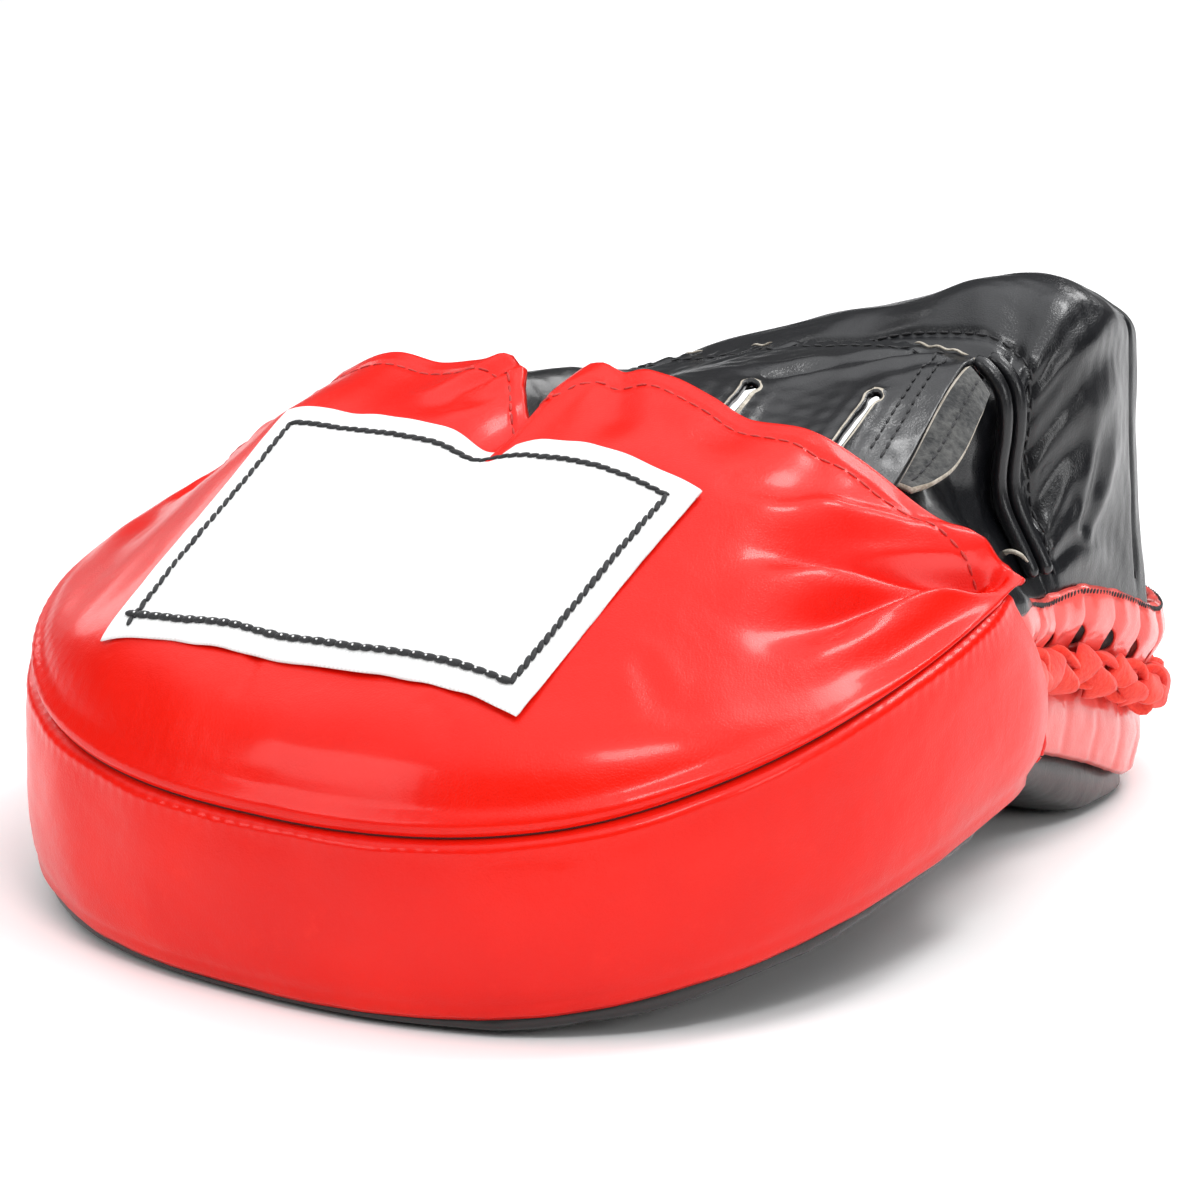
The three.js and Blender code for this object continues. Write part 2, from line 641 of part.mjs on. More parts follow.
function foldDepth(x, y) {
  let depth = 0;
  for (const fold of FOLDS) {
    const from = new THREE.Vector2(fold.fromAcross * MITT_WIDTH / 2, fold.fromBack * HOOD_EDGE);
    const to = new THREE.Vector2(fold.toAcross * MITT_WIDTH / 2, fold.toBack * HOOD_EDGE);
    const here = new THREE.Vector2(x, y - FRONT_Y);
    const run = to.clone().sub(from);
    const share = here.clone().sub(from).dot(run) / run.lengthSq();
    const near = from.clone().addScaledVector(run, THREE.MathUtils.clamp(share, 0, 1));
    const off = here.distanceTo(near) / (FOLD_WIDTH * fold.width);
    const starts = THREE.MathUtils.smoothstep(share, -0.2, 0.15);
    const fades = 1 - THREE.MathUtils.smoothstep(share, 0.5, 1.2);
    depth += FOLD_DEPTH * fold.depth * starts * fades * Math.exp(-off * off);
  }
  return depth;
}

function hoodZ(x, y) {
  const seam = seamY(x);
  const back = THREE.MathUtils.clamp((y - seam) / (hoodEdgeY(x) - seam), 0, 1);
  const crest = HOOD_RISE * read(CREST, 'across', 'rise', acrossOf(x));
  const base = lift(x, y) + frontBandHeight(y) + GAP;
  const notchBack = Math.max(hoodEdgeY(0) - y, 0) / NOTCH_LENGTH;
  const notch = NOTCH_DEPTH * Math.exp(-((x / NOTCH_WIDTH) ** 2) - notchBack ** 2);
  const fromSide = 1 - Math.abs(acrossOf(x));
  const seamFade = THREE.MathUtils.smoothstep(back, 0, 0.3);
  const edgeFade = seamFade * THREE.MathUtils.smoothstep(fromSide, 0.02, 0.16);
  const droop = HOOD_RISE * read(EDGE, 'across', 'droop', acrossOf(x));
  const drooped = droop * THREE.MathUtils.smoothstep(back, HOOD_DROOP_FROM, 1);
  return base + crest * read(RISE, 'back', 'rise', back) - notch - drooped - foldDepth(x, y) * edgeFade;
}

function hoodColumns() {
  const half = MITT_WIDTH / 2 - BAND_BULGE - SEAM_PINCH;
  const list = [0, NOTCH_WIDTH * 0.5, NOTCH_WIDTH];
  for (let i = 1; i <= HOOD_HALF_COLUMNS; i += 1) {
    const x = half * Math.sin(Math.PI / 2 * i / HOOD_HALF_COLUMNS) ** (2 / FRONT_SQUARENESS);
    if (x > NOTCH_WIDTH * 1.2) list.push(x);
  }
  return [...list.slice(1).reverse().map((x) => -x), ...list];
}

function hood() {
  const grid = hoodColumns().map((x) => {
    const row = [];
    for (let j = 0; j <= HOOD_ROWS; j += 1) {
      const y = THREE.MathUtils.lerp(seamY(x), hoodEdgeY(x), (j / HOOD_ROWS) ** HOOD_ROW_CROWD);
      row.push(new THREE.Vector3(x, y, hoodZ(x, y)));
    }
    return row;
  });
  const floor = (x, y) => lift(x, y) + frontBandHeight(y) + GAP;
  return shell(grid, LEATHER, { rows: [0, grid.length - 1], columns: [0], floor });
}

// Label: a bare woven patch that follows the hood
function labelPatch() {
  const rows = 9;
  const half = LABEL_WIDTH / 2;
  const columns = [-half, ...hoodColumns().filter((x) => Math.abs(x) < half - 1), half];
  const patch = (height) => columns.map((x) => {
    const row = [];
    for (let j = 0; j <= rows; j += 1) {
      const y = FRONT_Y + LABEL_SETBACK + LABEL_LENGTH * j / rows;
      row.push(new THREE.Vector3(x, y, hoodZ(x, y) + height));
    }
    return row;
  });
  return skin(patch(LABEL_LIFT + LABEL_THICKNESS), patch(LABEL_LIFT));
}

// Roof line where the finger panel meets the cuff, as shares of panel half width and rise
const ROOF = [
  { across: -1.00, rise: 0.30 },
  { across: -0.75, rise: 0.49 },
  { across: -0.50, rise: 0.67 },
  { across: -0.24, rise: 0.81 },
  { across: 0.00, rise: 0.90 },
  { across: 0.22, rise: 0.98 },
  { across: 0.45, rise: 1.04 },
  { across: 0.75, rise: 1.09 },
  { across: 1.00, rise: 1.06 },
];

const PANEL_END_Y = FRONT_Y + PANEL_END;
const heelTop = (x, y) => lift(x, y) + heelBandHeight(y);
const underHood = (x, y) => hoodZ(x, Math.min(y, hoodEdgeY(x))) - LEATHER * SLOPE_ROOM - GAP * 2;

function panelPoint(across, back) {
  const flare = THREE.MathUtils.lerp(PANEL_FLARE, 0, back);
  const x = across * (PANEL_HALF_WIDTH + flare);
  const startY = hoodEdgeY(x) - PANEL_TUCK;
  const cornerRound = PANEL_CORNER * Math.max(Math.abs(across) - 0.8, 0) / 0.2;
  const endY = PANEL_END_Y - cornerRound * (across > 0 ? 1 : 0.5);
  const y = THREE.MathUtils.lerp(startY, endY, back);
  const under = underHood(x, y);
  const roof = heelTop(0, PANEL_END_Y) + PANEL_RISE * read(ROOF, 'across', 'rise', across);
  const clear = THREE.MathUtils.smoothstep(y, hoodEdgeY(x), PANEL_END_Y - PANEL_LEVEL);
  return new THREE.Vector3(x, y, THREE.MathUtils.lerp(under, roof, clear));
}

// Slits between the fingers: rear ends and directions, as shares of the panel
const SLITS = [
  { across: -0.10, back: 0.60, lean: 0.30 },
  { across: 0.44, back: 0.50, lean: 0.26 },
  { across: 0.82, back: 0.60, lean: 0.16 },
];

function fingerPanel() {
  const columns = 20;
  const rows = 9;
  const grid = [];
  for (let i = 0; i <= columns; i += 1) {
    const row = [];
    for (let j = 0; j <= rows; j += 1) row.push(panelPoint(2 * i / columns - 1, j / rows));
    grid.push(row);
  }
  let panel = toSolid(shell(grid, LEATHER));
  for (const slit of SLITS) {
    const end = panelPoint(slit.across, slit.back);
    const cut = new THREE.BoxGeometry(SLIT_WIDTH, SLIT_LENGTH, 10 * LEATHER);
    cut.translate(0, -SLIT_LENGTH / 2, 0);
    const turn = new THREE.Matrix4().makeRotationZ(slit.lean);
    turn.setPosition(end.x, end.y, end.z);
    panel = panel.subtract(toSolid(cut.applyMatrix4(turn)));
  }
  return fromSolid(panel);
}

// Turned-out seam allowance along the near edge of the finger panel, between two shares of its length
const STRIP_FROM = 0.3;
const STRIP_TO = 0.9;

function seamStrip() {
  const steps = 9;
  const grid = [];
  for (let i = 0; i <= steps; i += 1) {
    const share = i / steps;
    const edge = panelPoint(1, THREE.MathUtils.lerp(STRIP_FROM, STRIP_TO, share));
    const splay = THREE.MathUtils.degToRad(THREE.MathUtils.lerp(STRIP_SPLAY_FRONT, STRIP_SPLAY_REAR, share));
    const row = [];
    for (let j = 0; j <= 2; j += 1) {
      const out = STRIP_WIDTH * j / 2;
      const x = edge.x + GAP * 2 + STRIP_THICKNESS + out * Math.sin(splay);
      row.push(new THREE.Vector3(x, edge.y, edge.z + STRIP_THICKNESS / 2 - out * Math.cos(splay)));
    }
    grid.push(row);
  }
  return shell(grid, STRIP_THICKNESS);
}

// Cuff sections from the near foot over the roof to the far foot:
// across is a share of the cuff half width, up a share of the rise above the heel band
const CUFF_FRONT = [
  { across: 1.000, up: 0.000 },
  { across: 0.940, up: 0.150 },
  { across: 0.860, up: 0.310 },
  { across: 0.860, up: 0.480 },
  { across: 0.870, up: 0.640 },
  { across: 0.800, up: 0.755 },
  { across: 0.580, up: 0.790 },
  { across: 0.260, up: 0.740 },
  { across: 0.000, up: 0.660 },
  { across: -0.280, up: 0.560 },
  { across: -0.520, up: 0.420 },
  { across: -0.760, up: 0.260 },
  { across: -0.920, up: 0.120 },
  { across: -0.990, up: 0.000 },
];
const CUFF_MIDDLE = [
  { across: 0.980, up: 0.000 },
  { across: 0.980, up: 0.240 },
  { across: 0.970, up: 0.500 },
  { across: 0.960, up: 0.760 },
  { across: 0.930, up: 0.940 },
  { across: 0.800, up: 1.030 },
  { across: 0.550, up: 1.000 },
  { across: 0.260, up: 0.880 },
  { across: 0.000, up: 0.760 },
  { across: -0.300, up: 0.610 },
  { across: -0.560, up: 0.450 },
  { across: -0.780, up: 0.290 },
  { across: -0.930, up: 0.130 },
  { across: -0.980, up: 0.000 },
];
const CUFF_REAR = [
  { across: 0.965, up: 0.000 },
  { across: 0.930, up: 0.260 },
  { across: 0.905, up: 0.540 },
  { across: 0.895, up: 0.820 },
  { across: 0.865, up: 1.010 },
  { across: 0.730, up: 1.100 },
  { across: 0.500, up: 1.085 },
  { across: 0.240, up: 0.980 },
  { across: 0.000, up: 0.860 },
  { across: -0.300, up: 0.690 },
  { across: -0.560, up: 0.510 },
  { across: -0.760, up: 0.330 },
  { across: -0.900, up: 0.140 },
  { across: -0.960, up: 0.000 },
];
const CUFF_START_Y = PANEL_END_Y + GAP;
const CUFF_STATIONS = [
  { back: 0.00, section: CUFF_FRONT },
  { back: 0.40, section: CUFF_MIDDLE },
  { back: 1.00, section: CUFF_REAR },
];
// Rows of the sections where the near and the far corner of the roof lie
const NEAR_CORNER = 5;
const FAR_CORNER = CUFF_FRONT.length - 3;
// Rows between which the piping runs down the near front edge
const WELT_FROM = 0.8;
const WELT_TO = 4.5;
const WELT_REACH = 0.4;

function cuffPoint(index, back) {
  const rows = CUFF_STATIONS.map(({ back: at, section }) => ({
    back: at,
    across: section[index].across,
    up: section[index].up,
  }));
  const y = CUFF_START_Y + CUFF_LENGTH * back;
  const across = read(rows, 'back', 'across', back);
  const up = read(rows, 'back', 'up', back);
  const x = CUFF_HALF_WIDTH * across;
  const foot = heelTop(CUFF_HALF_WIDTH * Math.sign(across || 1), y);
  const level = THREE.MathUtils.lerp(heelTop(0, y), foot, Math.abs(across) ** 3);
  return new THREE.Vector3(x, y, level + GAP + CUFF_RISE * up);
}

function handCuff() {
  const steps = 7;
  const grid = [];
  for (let i = 0; i <= steps; i += 1) {
    const back = i / steps;
    grid.push(CUFF_FRONT.map((_, index) => cuffPoint(index, back)));
  }
  return shell(grid, CUFF_PADDING, { columns: [0, CUFF_FRONT.length - 1], square: [0, steps] });
}

// Front edge of the cuff at a place between two rows of its sections
function cuffEdge(place) {
  const low = Math.min(Math.floor(place), CUFF_FRONT.length - 2);
  return cuffPoint(low, 0).lerp(cuffPoint(low + 1, 0), place - low);
}

// Side wall between the panel edge, the front edge of the cuff and the heel band, tucked under the hood
function gusset(side) {
  const steps = 10;
  const levels = 7;
  const foot = side > 0 ? 0 : CUFF_FRONT.length - 1;
  const corner = side > 0 ? NEAR_CORNER : FAR_CORNER;
  const rear = [];
  for (let j = 0; j <= levels; j += 1) rear.push(cuffEdge(THREE.MathUtils.lerp(foot, corner, j / levels)));
  const hoodEdge = hoodEdgeY(side * (PANEL_HALF_WIDTH + PANEL_FLARE));
  const panelStartY = hoodEdge - PANEL_TUCK;
  const startY = hoodEdge - GUSSET_TUCK;
  const beside = HEEL_BAND_INSET + SEAM_PINCH;
  const inside = BAND_BULGE + SEAM_PINCH + LEATHER + PAD_CLEARANCE;
  const grid = [];
  for (let i = 0; i <= steps; i += 1) {
    const share = i / steps;
    const y = THREE.MathUtils.lerp(startY, PANEL_END_Y - GAP, share);
    const waist = THREE.MathUtils.clamp(waistShare(y - FRONT_Y), 0, 1);
    const past = THREE.MathUtils.smoothstep(y, FRONT_BAND_END_Y + GAP, FRONT_BAND_END_Y + GUSSET_EASE);
    const plan = waistPoint(side, waist, THREE.MathUtils.lerp(inside, beside, past));
    const low = new THREE.Vector3(plan.x, y, heelTop(plan.x, y) + GAP);
    const edge = panelPoint(side, (y - panelStartY) / (PANEL_END_Y - panelStartY));
    const high = new THREE.Vector3(edge.x - side * LEATHER, y, edge.z - LEATHER * SLOPE_ROOM - 2 * GAP);
    const open = THREE.MathUtils.smoothstep(y, FRONT_BAND_END_Y, FRONT_BAND_END_Y + 2 * GUSSET_EASE);
    const follow = THREE.MathUtils.smoothstep(share, 0.5, 1);
    const row = [];
    for (let j = 0; j <= levels; j += 1) {
      const up = j / levels;
      const point = low.clone().lerp(high, up);
      const bow = Math.sin(Math.PI * up);
      const hooded = underHood(point.x, y) - LEATHER * up;
      const tucked = THREE.MathUtils.lerp(point.z, Math.max(hooded, point.z), bow ** 0.5);
      point.x -= side * GUSSET_DEPTH * open * bow ** 1.4;
      point.z = THREE.MathUtils.lerp(tucked, point.z, open);
      const target = rear[j].clone();
      target.x -= side * LEATHER * 0.5 * up;
      target.z = Math.min(target.z, high.z);
      point.x = THREE.MathUtils.lerp(point.x, target.x, follow);
      point.z = THREE.MathUtils.lerp(point.z, target.z, follow * bow);
      row.push(point);
    }
    grid.push(row);
  }
  return shell(grid, LEATHER, { columns: [0] });
}

// Piping down the near front edge of the cuff
function cuffWelt(offset, sink) {
  const away = WELT_RADIUS + 2 * GAP;
  const count = 6;
  const points = [];
  for (let i = 0; i < count; i += 1) {
    const place = THREE.MathUtils.lerp(WELT_FROM, WELT_TO, i / (count - 1));
    const along = cuffEdge(place + WELT_REACH).sub(cuffEdge(place - WELT_REACH)).normalize();
    const point = cuffEdge(place);
    point.x += away * along.z - sink;
    point.y -= offset;
    point.z -= away * along.x;
    points.push(point);
  }
  const profile = new THREE.Shape();
  profile.absarc(0, 0, WELT_RADIUS, 0, Math.PI * 2, false);
  const extrudePath = new THREE.CatmullRomCurve3(points);
  const form = { steps: 14, extrudePath, bevelEnabled: false, curveSegments: 4 };
  return new THREE.ExtrudeGeometry(profile, form);
}

const RED = { color: 0xd3201c, roughness: 0.34, metalness: 0 };
const LACE_RED = { color: 0xd22a22, roughness: 0.75, metalness: 0 };
const BLACK = { color: 0x16171a, roughness: 0.42, metalness: 0 };
const FLESH = { color: 0x8d8a82, roughness: 0.9, metalness: 0 };
const WHITE = { color: 0xf3f1ec, roughness: 0.8, metalness: 0 };

function piece(name, geometry, look) {
  const mesh = new THREE.Mesh(geometry, new THREE.MeshStandardMaterial(look));
  mesh.name = name;
  return mesh;
}

const mitt = new THREE.Group();
mitt.add(
  piece('strike_pad', strikePad(), BLACK),
  piece('front_band', frontBand(), RED),
  piece('heel_band', heelBand(), RED),
  piece('side_lace', sideLace(), LACE_RED),
  piece('hood', hood(), RED),
  piece('label_patch', labelPatch(), WHITE),
  piece('finger_panel', fingerPanel(), BLACK),
  piece('panel_seam_strip', seamStrip(), FLESH),
  piece('side_gusset_near', gusset(1), BLACK),
  piece('side_gusset_far', gusset(-1), BLACK),
  piece('hand_cuff', handCuff(), BLACK),
  piece('cuff_welt_front', cuffWelt(WELT_RADIUS * 3 + GAP * 2, WELT_RADIUS / 2), BLACK),
  piece('cuff_welt_rear', cuffWelt(WELT_RADIUS - GAP, 0), BLACK),
);

export default mitt;
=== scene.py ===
import math

import bmesh
import bpy
import numpy as np
from mathutils import Matrix, Vector


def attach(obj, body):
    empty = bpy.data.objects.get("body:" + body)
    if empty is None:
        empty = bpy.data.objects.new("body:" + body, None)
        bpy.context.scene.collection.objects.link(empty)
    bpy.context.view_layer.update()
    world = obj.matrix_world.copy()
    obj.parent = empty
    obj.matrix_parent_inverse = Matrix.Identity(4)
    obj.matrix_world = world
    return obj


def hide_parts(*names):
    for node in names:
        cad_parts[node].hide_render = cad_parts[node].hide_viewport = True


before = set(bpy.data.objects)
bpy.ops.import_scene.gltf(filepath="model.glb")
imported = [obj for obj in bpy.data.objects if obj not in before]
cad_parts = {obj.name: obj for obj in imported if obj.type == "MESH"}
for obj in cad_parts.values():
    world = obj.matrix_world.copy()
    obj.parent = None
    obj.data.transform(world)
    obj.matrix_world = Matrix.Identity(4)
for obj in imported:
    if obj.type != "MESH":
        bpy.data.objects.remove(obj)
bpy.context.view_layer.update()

# Dressed focus mitt: leather, stitches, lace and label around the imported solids.
# Shape functions work in millimetres, +Y towards the wrist, as the solids are built.
MM = 0.001

# Sizes shared with the solids, in millimetres
PAD_LENGTH = 262
MITT_WIDTH = 200
FRONT_DEPTH = 112
FRONT_SQUARENESS = 2.4
HEEL_WIDTH = 168
HEEL_DEPTH = 90
HEEL_SQUARENESS = 3.4
ARCH_LIFT = 30
FAR_SIDE_SAG = 9
FRONT_BELLY = 8.5
HEEL_BELLY = 15
LEATHER = 2.2
GAP = 0.35
BAND_TUCK = 1.2
BAND_BULGE = 1.2
SEAM_PINCH = 0.8
FRONT_BAND_HEIGHT = 33
WAIST_BAND_HEIGHT = 44
FRONT_BAND_END = 126
HEEL_BAND_HEIGHT = 36
HEEL_BAND_INSET = 1.5
HEEL_SLANT = 5
LACE_GROOVE = 4.2
PAD_CLEARANCE = 0.8
FRONT_BAND_CLEAR = 9
PAD_TOP_DROP = 2.6
PAD_SHOULDER = 5
PALM_DISH = 5
LACE_PITCH = 14
LACE_RADIUS = 2.7
LACE_SWELL = 1.1
PLEAT_DEPTH = 1.3
HOOD_RISE = 37
HOOD_EDGE = 107
HOOD_CORNER = 121.5
HOOD_EDGE_WAVE = 4
HOOD_DROOP_FROM = 0.72
NOTCH_WIDTH = 7
NOTCH_DEPTH = 8
NOTCH_LENGTH = 24
LABEL_WIDTH = 98
LABEL_LENGTH = 60.5
LABEL_SETBACK = 19
LABEL_THICKNESS = 1.1
LABEL_LIFT = 0.75
PANEL_TUCK = 13
PANEL_END = 167
PANEL_HALF_WIDTH = 62
PANEL_FLARE = 10.5
PANEL_RISE = 45
PANEL_CORNER = 3
PANEL_LEVEL = 6
STRIP_WIDTH = 8.5
STRIP_THICKNESS = 1.6
STRIP_SPLAY_FRONT = 70
STRIP_SPLAY_REAR = 42
STRIP_FROM = 0.3
STRIP_TO = 0.9
GUSSET_DEPTH = 7
GUSSET_TUCK = 5
GUSSET_EASE = 9
CUFF_LENGTH = 52
CUFF_HALF_WIDTH = 80
CUFF_RISE = 62
CUFF_PADDING = 6
WELT_RADIUS = 1.7
WELT_FROM = 0.8
WELT_TO = 4.5
WELT_REACH = 0.4
SLOPE_ROOM = 1.45
LACE_LEVEL = 0.55
SLOT_LEVEL = 0.72

# Sizes of the looks alone, in millimetres, and shares where they say so
THREAD_GAP = 3.3
HEM = 4.4
LABEL_HEM = 4.6
PANEL_HEM = 5.4
STITCH_UNEVENNESS = 0.12
HOLE_RIM = 0.1
LEAN_POWER = 1.4
LEAN_ROUND = 0.58
FAR_OFF = 1e9
TINY = 1e-9
MITT_INSIDE = (0, 0, 40)
HEEL_INSIDE = (0, 40, 40)
CUFF_INSIDE = (0, 60, 45)

# Tables shared with the solids: the first column is the place, the others are shares of named sizes
ARCH = {
    "along": (0, 0.07, 0.147, 0.29, 0.428, 0.5, 0.56, 0.63, 0.74, 0.865, 1),
    "lift": (0.1, 0.23, 0.41, 0.7, 0.92, 1, 0.99, 0.85, 0.54, 0.18, 0.12),
}
BELLY = {
    "along": (0, 0.2, 0.45, 0.65, 0.8, 1),
    "front": (1, 1, 0.5, 0, 0, 0),
    "heel": (0, 0, 0.1, 0.8, 1, 0.8),
}
HEEL_BAND = {
    "along": (0.4, 0.52, 0.61, 0.7, 0.85, 1),
    "height": (0.92, 0.92, 0.86, 1, 1.02, 1),
}
BAND_SIDE = {
    "up": (0, 0.1, 0.3, 0.6, 0.88, 1),
    "bulge": (0, 0.25, 0.85, 1, 0.55, 0),
    "tuck": (1, 0.3, 0, 0, 0, 0),
    "pinch": (0, 0, 0, 0, 0, 1),
}
HEEL_SIDE = {
    "up": (0, 0.25, 0.42, 0.55, 0.7, 0.84, 1),
    "slant": (0, 0.38, 0.58, 0.8, 1, 1, 0.85),
    "groove": (0, 0.15, 0.8, 1, 0.7, 0.1, 0),
}
CREST = {
    "across": (-1, -0.9, -0.74, -0.62, -0.47, -0.3, 0, 0.27, 0.45, 0.58, 0.71, 0.82, 0.92, 1),
    "rise": (0, 0.2, 0.5, 0.77, 1, 1, 0.98, 1.01, 0.91, 0.78, 0.57, 0.34, 0.12, 0),
}
RISE = {
    "back": (0, 0.02, 0.05, 0.1, 0.18, 0.45, 0.74, 1),
    "rise": (0, 0.17, 0.32, 0.44, 0.51, 0.7, 0.9, 1),
}
EDGE = {
    "across": (-1, -0.8, -0.63, -0.52, -0.42, -0.31, -0.21, -0.12, 0,
               0.1, 0.24, 0.34, 0.43, 0.55, 0.66, 0.76, 0.9, 1),
    "back": (1, 0.6, 0.3, 0.15, 0.06, 0.01, 0, 0, 0, 0, 0, 0.02, 0.06, 0.16, 0.35, 0.52, 0.8, 1),
    "wave": (0, 0.4, 0, -0.2, 0.2, 0.2, 0.1, 0.1, -3, -0.7, 0.2, 0.2, 0, 0, 0.2, 0.2, 0, 0),
    "droop": (0, 0.02, 0.07, 0.08, 0.08, 0.11, 0.06, 0, 0,
              0, 0.04, 0.09, 0.12, 0.04, 0.05, 0.06, 0, 0),
}
ROOF = {
    "across": (-1, -0.75, -0.5, -0.24, 0, 0.22, 0.45, 0.75, 1),
    "rise": (0.3, 0.49, 0.67, 0.81, 0.9, 0.98, 1.04, 1.09, 1.06),
}
CUFF = {
    "row": tuple(range(14)),
    "front_across": (1, 0.94, 0.86, 0.86, 0.87, 0.8, 0.58, 0.26, 0, -0.28, -0.52, -0.76, -0.92, -0.99),
    "front_up": (0, 0.15, 0.31, 0.48, 0.64, 0.755, 0.79, 0.74, 0.66, 0.56, 0.42, 0.26, 0.12, 0),
    "middle_across": (0.98, 0.98, 0.97, 0.96, 0.93, 0.8, 0.55, 0.26, 0, -0.3, -0.56, -0.78, -0.93, -0.98),
    "middle_up": (0, 0.24, 0.5, 0.76, 0.94, 1.03, 1, 0.88, 0.76, 0.61, 0.45, 0.29, 0.13, 0),
    "rear_across": (0.965, 0.93, 0.905, 0.895, 0.865, 0.73, 0.5, 0.24, 0, -0.3, -0.56, -0.76, -0.9, -0.96),
    "rear_up": (0, 0.26, 0.54, 0.82, 1.01, 1.1, 1.085, 0.98, 0.86, 0.69, 0.51, 0.33, 0.14, 0),
}
CUFF_ROWS = len(CUFF["row"])
CUFF_MIDDLE_AT = 0.4
NEAR_CORNER = 5
FAR_CORNER = CUFF_ROWS - 3


def read(table, key, column, at):
    """Smooth curve through the rows of a table, as the solids read it."""
    xs = np.asarray(table[key], float)
    vs = np.asarray(table[column], float)
    return read_rows(xs, vs, at)


def read_rows(xs, vs, at):
    at = np.asarray(at, float)
    last = len(xs) - 1
    i = np.searchsorted(xs[1:last], at, side="left")
    before = np.maximum(i - 1, 0)
    after = np.minimum(i + 2, last)
    span = xs[i + 1] - xs[i]
    t = np.clip((at - xs[i]) / span, 0, 1)
    slope_a = (vs[i + 1] - vs[before]) / (xs[i + 1] - xs[before]) * span
    slope_b = (vs[after] - vs[i]) / (xs[after] - xs[i]) * span
    return hermite(vs[i], vs[i + 1], slope_a, slope_b, t)


def smooth(value, low, high):
    t = np.clip((np.asarray(value, float) - low) / (high - low), 0, 1)
    return t * t * (3 - 2 * t)


def lerp(a, b, t):
    return a + (b - a) * t


def both(a, b):
    """Two coordinates as number arrays of one shape."""
    return np.broadcast_arrays(np.asarray(a, float), np.asarray(b, float))


def bell(value, width):
    return np.exp(-(value / width) ** 2)


def unit(rows):
    """Each row made one long."""
    return rows / np.linalg.norm(rows, axis=1)[:, None]


def run_of(line):
    """How far along a line each of its points lies."""
    return np.concatenate([[0], np.cumsum(np.linalg.norm(np.diff(line, axis=0), axis=1))])


def along_line(at, far, line, axis=-1):
    """Points at places along a line."""
    return np.stack([np.interp(at, far, line[:, k]) for k in range(line.shape[1])], axis)


def hermite(a, b, slope_a, slope_b, t):
    """Smooth curve from a to b with given slopes."""
    t2, t3 = t * t, t * t * t
    return ((2 * t3 - 3 * t2 + 1) * a + (3 * t2 - 2 * t3) * b
            + (t3 - 2 * t2 + t) * slope_a + (t3 - t2) * slope_b)


def heel_stand_out(up):
    slant = HEEL_SLANT * (read(HEEL_SIDE, "up", "slant", up) - 1)
    return slant - LACE_GROOVE * read(HEEL_SIDE, "up", "groove", up)


LACE_AWAY = float(heel_stand_out(LACE_LEVEL)) + LACE_RADIUS + LACE_SWELL / 2 + GAP
LACE_PROUD = LACE_AWAY + LACE_RADIUS + LACE_SWELL / 2 - HEEL_BAND_INSET
FRONT_Y = -(PAD_LENGTH + LACE_PROUD) / 2
WIDEST_Y = FRONT_Y + FRONT_DEPTH
HEEL_WIDEST_Y = FRONT_Y + PAD_LENGTH - HEEL_DEPTH
FRONT_BAND_END_Y = FRONT_Y + FRONT_BAND_END
PANEL_END_Y = FRONT_Y + PANEL_END
CUFF_START_Y = PANEL_END_Y + GAP
LABEL_FRONT_Y = FRONT_Y + LABEL_SETBACK
LABEL_REAR_Y = LABEL_FRONT_Y + LABEL_LENGTH


def along_of(y):
    return (np.asarray(y, float) - FRONT_Y) / PAD_LENGTH


def across_of(x):
    return np.asarray(x, float) / (MITT_WIDTH / 2)


def lift(x, y):
    share = read(ARCH, "along", "lift", along_of(y))
    far = smooth(-across_of(x), -0.1, 1)
    return share * (ARCH_LIFT - FAR_SIDE_SAG * far * share)


def front_band_height(y):
    back = (np.asarray(y, float) - FRONT_Y) / FRONT_BAND_END
    return lerp(FRONT_BAND_HEIGHT, WAIST_BAND_HEIGHT, np.minimum(back, 1))


def heel_band_height(y):
    return HEEL_BAND_HEIGHT * read(HEEL_BAND, "along", "height", along_of(y))


def band_stand_out(up):
    bulge = BAND_BULGE * read(BAND_SIDE, "up", "bulge", up)
    tuck = BAND_TUCK * read(BAND_SIDE, "up", "tuck", up)
    return bulge - BAND_BULGE - tuck - SEAM_PINCH * read(BAND_SIDE, "up", "pinch", up)


def quarter(side, width, depth, squareness, start, towards, inset=0):
    """Half outline at one end, from the midline outwards."""
    angles = np.pi / 2 * np.arange(25) / 24
    power = 2 / squareness
    x = side * (width / 2 - inset) * np.sin(angles) ** power
    y = start + towards * (depth - inset) * np.maximum(np.cos(angles), 0) ** power
    return np.stack([x, y], 1)


def front_quarter(side, inset=0):
    return quarter(side, MITT_WIDTH, FRONT_DEPTH, FRONT_SQUARENESS, WIDEST_Y, -1, inset)


def heel_quarter(side, inset=0):
    return quarter(side, HEEL_WIDTH, HEEL_DEPTH, HEEL_SQUARENESS, HEEL_WIDEST_Y, 1, inset)


def waist_point(side, share, inset=0):
    ease = smooth(share, 0, 1)
    x = lerp(MITT_WIDTH / 2, HEEL_WIDTH / 2, ease) - inset
    return np.array([side * x, lerp(WIDEST_Y, HEEL_WIDEST_Y, share)])


def waist_share(from_front):
    return (FRONT_Y + from_front - WIDEST_Y) / (HEEL_WIDEST_Y - WIDEST_Y)


def front_path():
    end = waist_share(FRONT_BAND_END)
    rows = [waist_point(-1, end), waist_point(-1, end / 2)]
    rows += list(front_quarter(-1)[::-1]) + list(front_quarter(1)[1:])
    return np.array(rows + [waist_point(1, end / 2), waist_point(1, end)])


def heel_path():
    start = waist_share(FRONT_BAND_END)
    shares = [lerp(start, 1, i / 6) for i in range(6)]
    rows = [waist_point(1, s, HEEL_BAND_INSET) for s in shares]
    rows += list(heel_quarter(1, HEEL_BAND_INSET)[::-1]) + list(heel_quarter(-1, HEEL_BAND_INSET)[1:])
    return np.array(rows + [waist_point(-1, s, HEEL_BAND_INSET) for s in shares[::-1]])


